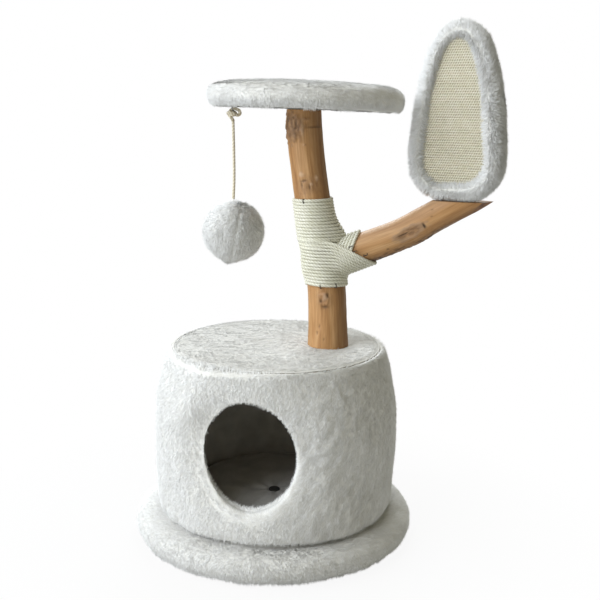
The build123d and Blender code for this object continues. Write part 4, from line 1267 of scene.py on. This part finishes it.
def comb_perch(root, normal):
    """Stroked to the right over the top, and down round the rim."""
    outward = unit((root - np.array(perch_place)) * (1, 1, 0))
    top = smooth_step(normal[:, 2], 0.86, 1.0)[:, None]
    return (outward * 0.5 + np.array((0.25, 0.0, -0.9))) * (1 - top) + np.array((0.9, -0.35, 0.0)) * top


def cover_perch(middle, facing):
    """The top and the rim down to the hem."""
    off = off_axis(middle, perch_place[0])
    board = (off < perch_board_radius + 0.002) & (facing[:, 2] < 0.1)
    return (~board & (facing[:, 2] > -0.85)) * 1.0


add_pile("perch_pile", perch_skin, comb_perch, cover_perch, count=42000, seed=43, length=0.0060,
         lift=0.34, swirl=0.34, grain=(0.016, 0.016, 0.024))


def cover_hem(middle, facing):
    """The lower half of the rim."""
    off = off_axis(middle, perch_place[0])
    return ((off > 0.149) & (facing[:, 2] < -0.2) & (facing[:, 2] > -0.75)) * 1.0


add_pile("perch_hem_pile", perch_skin, comb_towards((0.0, 0.0, -1.0)), cover_hem, count=9000, seed=44,
         length=0.0084, lift=0.22)

perch_sheet = turned("perch_felt", (
    (0.0, -0.0001), (0.06, -0.0001), (0.1384, -0.0001), (0.1394, 0.0006), (0.1394, 0.0030),
    (0.1384, 0.0036), (0.06, 0.0036), (0.0, 0.0036),
), 96)
set_on_log(perch_sheet)
dress(perch_sheet, felt, "stand", "felt", "perch_underlay")
keep_nodes(chipboard, "perch_board")
keep_nodes(steel, "perch_bolt", "perch_nut")


# Scratcher: an egg-shaped board on the branch's seat, faced with a woven sisal mat.
# A thick plush border runs all round and laps over the edge of the mat; the back is a plush panel.

scratcher_place = np.array((0.292, 0.0, 0.5853))
scratcher_yaw = math.radians(20)
scratcher_across = np.array((math.cos(scratcher_yaw), -math.sin(scratcher_yaw), 0.0))
scratcher_front = np.array((-math.sin(scratcher_yaw), -math.cos(scratcher_yaw), 0.0))
egg_half = (
    (0.0, 0.0), (0.022, 0.0005), (0.044, 0.0068), (0.062, 0.0200), (0.0745, 0.0380), (0.0790, 0.0600),
    (0.0782, 0.090), (0.0750, 0.125), (0.0695, 0.165), (0.0610, 0.205), (0.0500, 0.238), (0.0385, 0.258),
    (0.0210, 0.2735), (0.0, 0.2790),
)


def round_line(points, spacing):
    """Evenly spaced points on a smooth closed line through the given points."""
    points = np.asarray(points, float)
    fine = flowing(np.vstack([points[-3:], points, points[:4]]), spacing / 10)
    half = len(fine) // 2
    start = np.argmin(np.linalg.norm(fine[:half] - points[0], axis=1))
    stop = half + np.argmin(np.linalg.norm(fine[half:] - points[0], axis=1))
    return evenly(fine[start:stop], spacing)


def on_scratcher(points):
    """From across, up and forward on the board to the frame."""
    points = np.asarray(points, float)
    return (scratcher_place + points[:, :1] * scratcher_across + points[:, 1:2] * np.array((0, 0, 1.0))
            + points[:, 2:3] * scratcher_front)


def egg_line(inset, spacing):
    """The board's outline, drawn in by inset, as a closed line of evenly spaced points."""
    right = np.array(egg_half)
    line = round_line(np.vstack([right, (right[1:-1] * (-1, 1))[::-1]]), 0.0015)
    way = unit(np.roll(line, -1, 0) - np.roll(line, 1, 0))
    return evenly(line + np.stack([-way[:, 1], way[:, 0]], 1) * inset, spacing)


rim_line = egg_line(0.0142, 0.004)
rim_way = unit(np.roll(rim_line, -1, 0) - np.roll(rim_line, 1, 0))
rim_out = np.stack([rim_way[:, 1], -rim_way[:, 0]], 1)
rim_around = 36
rim_half_width, rim_square = 0.0104, 0.8
rim_front, rim_rear = 0.0205, 0.0160
rim_points = []
for place, away in zip(rim_line, rim_out):
    brow = float(smooth_step(place[1], 0.185, 0.265))
    for j in range(rim_around):
        turn = 2 * math.pi * j / rim_around
        wide = rim_half_width * math.copysign(abs(math.cos(turn)) ** rim_square, math.cos(turn))
        deep = math.copysign(abs(math.sin(turn)) ** rim_square, math.sin(turn))
        deep = deep * (rim_front if deep > 0 else rim_rear)
        if wide < 0 < deep:
            wide = wide * (1.22 + 0.30 * away[0] - 0.25 * brow)
        rim_points.append((*(place + away * wide), deep))
rim_faces = band_faces(len(rim_line), rim_around, True)
rim_skin = new_piece("scratcher_border", on_scratcher(rim_points), rim_faces)
face_outwards(rim_skin, True)
joint = np.argmin(np.linalg.norm(rim_line - np.array((-0.038, 0.013)), axis=1))
strip_joint = on_scratcher([(*rim_line[joint], 0.0)])[0]
strip_way = unit(on_scratcher([(*(rim_line[joint] + rim_way[joint]), 0.0)])[0] - strip_joint)


def at_joint(points, width):
    """1 on the line where the strip's two ends meet, falling to 0 over a width."""
    near = smooth_step(-np.linalg.norm(points - strip_joint, axis=1), -0.034, -0.028)
    return hump((points - strip_joint) @ strip_way, 0.0, width) * near


places, normals = places_of(rim_skin), normals_of(rim_skin)
wave = 0.0014 * clouds(places, 0.035, 51)
wave = wave - 0.0026 * at_joint(places, 0.0030)
places = places + normals * wave[:, None]
places[:, 2] = np.maximum(places[:, 2], scratcher_place[2] + 0.0003)
move_to(rim_skin, places)
dress(rim_skin, plush, "stand", "plush", "scratcher_rim")


def comb_rim(root, normal):
    """Over the border's two slopes: outwards outside, and inwards over the edge of the mat."""
    aside = unit(root - (scratcher_place + np.array((0, 0, 0.12))))
    slope = np.clip(3 * (aside * normal).sum(1), -1, 1)
    return aside * slope[:, None] + np.array((0, 0, -0.35))


def cover_rim(middle, facing):
    """All round the border, but not where it stands on the seat or against the board."""
    aside = unit(middle - (scratcher_place + np.array((0, 0, 0.12))))
    inner = ((aside * facing).sum(1) < -0.6) & (facing @ scratcher_front < 0.15)
    return ((middle[:, 2] > scratcher_place[2] + 0.001) & ~inner) * 1.0


def tint_rim(root):
    """Darker where the strip's two ends meet at the lower left."""
    return -1.1 * at_joint(root, 0.0018)


def trim_rim(root):
    """Shorter pile at the joint of the strip, and towards the back."""
    joint = at_joint(root, 0.0030)
    back = smooth_step(-(root - scratcher_place) @ scratcher_front, -0.004, 0.012)
    return 1 - 0.3 * joint - 0.35 * back


add_pile("scratcher_pile", rim_skin, comb_rim, cover_rim, floor=scratcher_place[2] + 0.0002,
         count=46000, seed=52, length=0.0092, lift=0.88, swirl=0.5, grain=(0.008, 0.008, 0.008),
         ruffle=0.55, tint=tint_rim, trim=trim_rim)

mat_low, mat_top = 0.0100, 0.0128
mat_line = egg_line(0.0200, 0.004)
slab = [(x, y, d) for d in (mat_low, mat_top) for x, y in mat_line]
mat_back = new_piece("scratcher_mat_backing", on_scratcher(slab), tube_faces(2, len(mat_line)))
face_outwards(mat_back)

yarn_row = 0.00395
yarn_loop = 0.0039
yarn_sway, yarn_swing, yarn_rise, yarn_wave, yarn_half = 0.0006, 0.00125, 0.0006, 0.0011, 0.00118
yarn_points, yarn_faces, yarn_dip_shade, yarn_lay = [], [], [], []
yarn_sides = 6
yarn_turn = 2 * np.pi * np.arange(yarn_sides) / yarn_sides
mat_low_edge, mat_high_edge = mat_line[:, 1].min(), mat_line[:, 1].max()
mat_closed = np.vstack([mat_line, mat_line[0]])
rng = np.random.default_rng(55)
for row, height in enumerate(np.arange(mat_low_edge + 0.003, mat_high_edge - 0.003, yarn_row)):
    crossing = []
    for (x1, y1), (x2, y2) in zip(mat_closed[:-1], mat_closed[1:]):
        if (y1 - height) * (y2 - height) < 0:
            crossing.append(x1 + (x2 - x1) * (height - y1) / (y2 - y1))
    across = np.arange(min(crossing) + 0.001, max(crossing) - 0.001, yarn_loop / 8)
    spots = np.stack([across, across * 0 + height, across * 0], 1)
    phase = 2 * np.pi * across / yarn_loop + np.pi * (row % 2) + 0.5 * clouds(spots, 0.012, 56)
    tall = yarn_swing * (1 + 0.3 * clouds(spots, 0.006, 57))
    out = mat_top + yarn_rise + yarn_wave * np.sin(phase + 0.9)
    path = np.stack([across + yarn_sway * np.sin(2 * phase), height + tall * np.sin(phase), out], 1)
    way = unit(np.gradient(path, axis=0))
    first = unit(np.cross(way, (0, 0.2, 1.0)))
    second = np.cross(way, first)
    thick = yarn_half * (0.85 + 0.3 * rng.random(len(path)))[:, None, None]
    ring = first[:, None] * np.cos(yarn_turn)[:, None] + second[:, None] * np.sin(yarn_turn)[:, None]
    start = len(yarn_points)
    yarn_points.extend((path[:, None] + ring * thick).reshape(-1, 3))
    # Painted shade where the yarn dips under its neighbours.
    yarn_dip_shade.extend(np.repeat(0.32 - 0.32 * np.sin(phase + 0.9), yarn_sides))
    lengthwise = np.repeat(across + height * 7, yarn_sides)
    round_yarn = np.tile(np.stack([np.cos(yarn_turn), np.sin(yarn_turn)], 1), (len(path), 1))
    yarn_lay.extend(np.column_stack([round_yarn, lengthwise]))
    for face in tube_faces(len(path), yarn_sides):
        yarn_faces.append(tuple(start + k for k in face))
mat = new_piece("scratcher_weave", on_scratcher(yarn_points), yarn_faces)
face_outwards(mat, True)
add_values(mat, "groove", np.array(yarn_dip_shade))
add_values(mat, "lay", yarn_lay)
mat_sisal = grouped("mat_sisal", 0.75, laid_fibre, 0.5, 0.0006, Dark=(0.78, 0.71, 0.52, 1),
                    Light=(0.99, 0.97, 0.90, 1), Groove=(0.36, 0.28, 0.14, 1), Depth=0.7, Length=120.0)
dress(mat, mat_sisal, "stand", "sisal", "scratcher_mat")

jute, tree, shader, spot = new_material("mat_backing", 0.9)
shade = ramp(tree, speckle(tree, spot, 350.0), (0.3, (0.40, 0.34, 0.21, 1)), (0.7, (0.66, 0.59, 0.42, 1)))
tree.links.new(shade, shader.inputs["Base Color"])
raise_by(tree, shader, speckle(tree, spot, 500.0), 0.4, 0.0006)
dress(mat_back, jute, "stand", "sisal", "scratcher_mat")

back_rings = ((0.0205, -0.0010), (0.0205, -0.0080), (0.0225, -0.0108), (0.0275, -0.0122), (0.0375, -0.0132),
              (0.0475, -0.0138), (0.0575, -0.0141))
back_points = []
back_line = [egg_line(inset, 0.005) for inset, deep in back_rings]
steps = min(len(line) for line in back_line)
for line, (inset, deep) in zip(back_line, back_rings):
    pick = np.linspace(0, len(line), steps, endpoint=False)
    closed = np.vstack([line, line[0]])
    for p in pick:
        k = int(p)
        back_points.append((*(closed[k] + (closed[k + 1] - closed[k]) * (p - k)), deep))
back_faces = tube_faces(len(back_rings), steps)
back_skin = new_piece("scratcher_back_plush", on_scratcher(back_points), back_faces)
face_outwards(back_skin)
bpy.ops.object.shade_smooth_by_angle(angle=math.radians(60))
dress(back_skin, plush, "stand", "plush", "scratcher_back")


def cover_back(middle, facing):
    """The panel's outside."""
    return (facing @ -scratcher_front > 0.4) * 1.0


add_pile("scratcher_back_pile", back_skin, comb_towards((0.1, 0, -1.0)), cover_back, count=9000, seed=58,
         length=0.006, width=0.0015, lift=0.4)
keep_nodes(chipboard, "scratcher_board")
keep_nodes(steel, "scratcher_dowels")


# Hanging toy: a plush ball sewn from two halves, on a twisted cord knotted to a staple under the shelf.
# The cord's end is caught in the top of the ball.

toy_x = -0.0757
cord_top, cord_low = 0.7072, 0.5778
cord_thick, knot_thick = 0.005, 0.0058
cord_lay, cord_strands, cord_hollow = 0.011, 2, 0.14
ball_middle = np.array((toy_x, 0.0, 0.524))
ball_size = 0.0491
ball_lump, seam_depth, point_height, dimple_depth = 0.0012, 0.0010, 0.0034, 0.0012
seam_view = math.radians(11)
cord_route = (
    (toy_x, 0.0, cord_top), (toy_x + 0.0004, 0.0, 0.690), (toy_x + 0.0012, -0.0004, 0.655),
    (toy_x + 0.0016, 0.0, 0.615), (toy_x + 0.0006, 0.0004, 0.592), (toy_x, 0.0, cord_low),
)


def smooth_route(name, route):
    """Points read from one smooth spline that has the route's points as its control points."""
    line = bpy.data.curves.new(name, "CURVE")
    line.dimensions = "3D"
    line.resolution_u = 24
    spline = line.splines.new("NURBS")
    spline.points.add(len(route) - 1)
    for point, place in zip(spline.points, route):
        point.co = (*place, 1.0)
    spline.order_u = 3
    spline.use_endpoint_u = True
    holder = bpy.data.objects.new(name, line)
    mesh = bpy.data.meshes.new_from_object(holder)
    points = np.array([tuple(v.co) for v in mesh.vertices])
    bpy.data.meshes.remove(mesh)
    bpy.data.objects.remove(holder)
    bpy.data.curves.remove(line)
    return points


cord_fibre = grouped("cord_fibre", 0.8, laid_fibre, 0.6, 0.0006, Dark=(0.62, 0.53, 0.36, 1),
                     Light=(0.92, 0.88, 0.78, 1), Groove=(0.38, 0.29, 0.16, 1), Depth=0.7, Length=150.0)

cord_points = smooth_route("cord_route", cord_route)
toy_cord = wound_rope("toy_cord_twist", flowing(cord_points, 0.0010), cord_thick, cord_lay, cord_strands,
                      14, cord_hollow)
dress(toy_cord, cord_fibre, "cord", "cord", "toy_cord")

knot_route = (
    (0.0, 0.0, 0.7066), (-0.0010, -0.0040, 0.7112), (-0.0066, -0.0034, 0.7160), (-0.0058, 0.0036, 0.7200),
    (0.0012, 0.0048, 0.7208), (0.0056, -0.0022, 0.7184), (0.0012, -0.0062, 0.7154),
    (-0.0060, -0.0046, 0.7192), (-0.0034, 0.0, 0.7244), (0.0, 0.0, 0.7274), (0.0062, -0.0010, 0.7258),
    (0.0108, -0.0010, 0.7236), (0.0122, 0.0, 0.7196), (0.0094, 0.0010, 0.7158), (0.0054, -0.0038, 0.7162),
    (0.0018, -0.0070, 0.7196), (-0.0052, -0.0062, 0.7218), (-0.0084, -0.0022, 0.7184),
)
knot_points = smooth_route("knot_route", [(toy_x + x, y, z) for x, y, z in knot_route])
toy_knot = wound_rope("toy_knot_cord", flowing(knot_points, 0.0010), knot_thick, cord_lay, cord_strands,
                      12, cord_hollow)
dress(toy_knot, cord_fibre, "knot", "cord", "toy_knot")
keep_nodes(steel, "toy_staple")

bpy.ops.mesh.primitive_ico_sphere_add(subdivisions=6, radius=ball_size)
ball_skin = bpy.context.object
ball_skin.name = "toy_ball_plush"
bpy.ops.object.shade_smooth()


def ball_seam(way):
    """How near a point on the ball is to the seam's parted fur, from 0 to 1, and on which side."""
    aside = way[:, 0] * math.cos(seam_view) + way[:, 1] * math.sin(seam_view)
    tilt = aside - 0.12 - 0.20 * way[:, 2]
    return hump(tilt, 0.0, 0.07) * smooth_step(-way[:, 1], 0.1, 0.5), np.tanh(tilt / 0.04)


places = places_of(ball_skin)
way = unit(places)
near, half = ball_seam(way)
lowest = unit(np.array((-0.14, -0.15, -1.0)))
bulge = ball_lump * clouds(places, 0.03, 61) - seam_depth * near
bulge = bulge + point_height * np.exp(-(1 - way @ lowest) / 0.030)
dimple = np.exp(-np.linalg.norm(way - unit(np.array((0.42, -0.45, 0.78))), axis=1) ** 2 / 0.010)
move_to(ball_skin, places * (1 + (bulge - dimple_depth * dimple) / ball_size)[:, None] + ball_middle)
dress(ball_skin, plush, "ball", "plush", "toy_ball", "toy_filling")


def comb_ball(root, normal):
    """Away from the seam and down to the lowest point."""
    near, half = ball_seam(unit(root - ball_middle))
    aside = np.stack([half, 0 * half, 0 * half], 1)
    return aside * (0.1 + 0.7 * near)[:, None] + unit(ball_middle + lowest * ball_size * 1.2 - root)


def tint_ball(root):
    """Darker where the fur parts along the seam."""
    return -0.9 * ball_seam(unit(root - ball_middle))[0] ** 2


add_pile("toy_ball_pile", ball_skin, comb_ball, cover_all, body="ball", count=17000, seed=62, length=0.0076,
         ruffle=0.40, width=0.0012, lift=0.56, swirl=0.5, grain=(0.012, 0.012, 0.02), tint=tint_ball)


# Stage: a plain pale floor that the camera sees as white, a large soft lamp at the left and one behind.
# The camera stands in front, a little to the right, and looks slightly down.

floor_size = 6.0
lamps = (
    ("key", Vector((-2.2, -1.68, 2.0)), 3.4, 160.0, (0.87, 0.925, 1.0)),
    ("back", Vector((-0.4, 2.5, 2.7)), 2.0, 84.0, (0.90, 0.95, 1.0)),
)
fill_colour, fill_strength = (1.0, 0.965, 0.76, 1.0), 0.37
camera_place = Vector((0.28621, -1.47244, 0.722))
camera_lens = 53.94
camera_turns = (11.8, 11.0, 1.5, 0.7)

bpy.ops.mesh.primitive_plane_add(size=floor_size)
floor = bpy.context.object
floor.name = "studio_floor"
paper, tree, shader, spot = new_material("studio_paper", 0.9)
shader.inputs["Base Color"].default_value = (0.62, 0.62, 0.62, 1)
white = node(tree, "ShaderNodeEmission", {"Color": (1, 1, 1, 1), "Strength": 1.0})
seen = node(tree, "ShaderNodeLightPath").outputs["Is Camera Ray"]
away = node(tree, "ShaderNodeVectorMath", {0: spot}, operation="LENGTH").outputs["Value"]
glow = ramp(tree, away, (0.24, (0.92, 0.92, 0.92, 1)), (0.6, (1, 1, 1, 1)))
shown = figure(tree, "MULTIPLY", seen, glow)
mixed = node(tree, "ShaderNodeMixShader", {0: shown, 1: shader.outputs[0], 2: white.outputs[0]})
tree.links.new(mixed.outputs[0], tree.nodes["Material Output"].inputs["Surface"])
floor.data.materials.append(paper)

world = bpy.data.worlds.new("studio")
bpy.context.scene.world = world
world.use_nodes = True
tree = world.node_tree
seen = node(tree, "ShaderNodeLightPath").outputs["Is Camera Ray"]
sky = node(tree, "ShaderNodeBackground", {"Color": fill_colour, "Strength": fill_strength})
white = node(tree, "ShaderNodeBackground", {"Color": (1, 1, 1, 1), "Strength": 1.0})
mixed = node(tree, "ShaderNodeMixShader", {0: seen, 1: sky.outputs[0], 2: white.outputs[0]})
tree.links.new(mixed.outputs[0], tree.nodes["World Output"].inputs["Surface"])

for name, place, size, power, colour in lamps:
    light = bpy.data.lights.new(name, "AREA")
    light.size = size
    light.energy = power
    light.color = colour
    lamp = bpy.data.objects.new(name, light)
    bpy.context.collection.objects.link(lamp)
    lamp.location = place
    lamp.rotation_euler = (Vector((0, 0, 0.4)) - place).to_track_quat("-Z", "Y").to_euler()

pitch, azimuth, yaw, roll = (math.radians(a) for a in camera_turns)
heading = azimuth - yaw
ahead = Vector((-math.sin(heading) * math.cos(pitch), math.cos(heading) * math.cos(pitch), -math.sin(pitch)))
right = ahead.cross(Vector((0, 0, 1))).normalized()
up = right.cross(ahead)
right, up = right * math.cos(roll) + up * math.sin(roll), up * math.cos(roll) - right * math.sin(roll)
camera_data = bpy.data.cameras.new("camera")
camera_data.lens = camera_lens
camera_data.sensor_width = 36.0
camera_data.clip_end = 50.0
camera = bpy.data.objects.new("camera", camera_data)
bpy.context.collection.objects.link(camera)
turned_to = Matrix((right, up, -ahead)).transposed().to_4x4()
turned_to.translation = camera_place
camera.matrix_world = turned_to
bpy.context.scene.camera = camera
bpy.context.scene.view_settings.view_transform = "Standard"
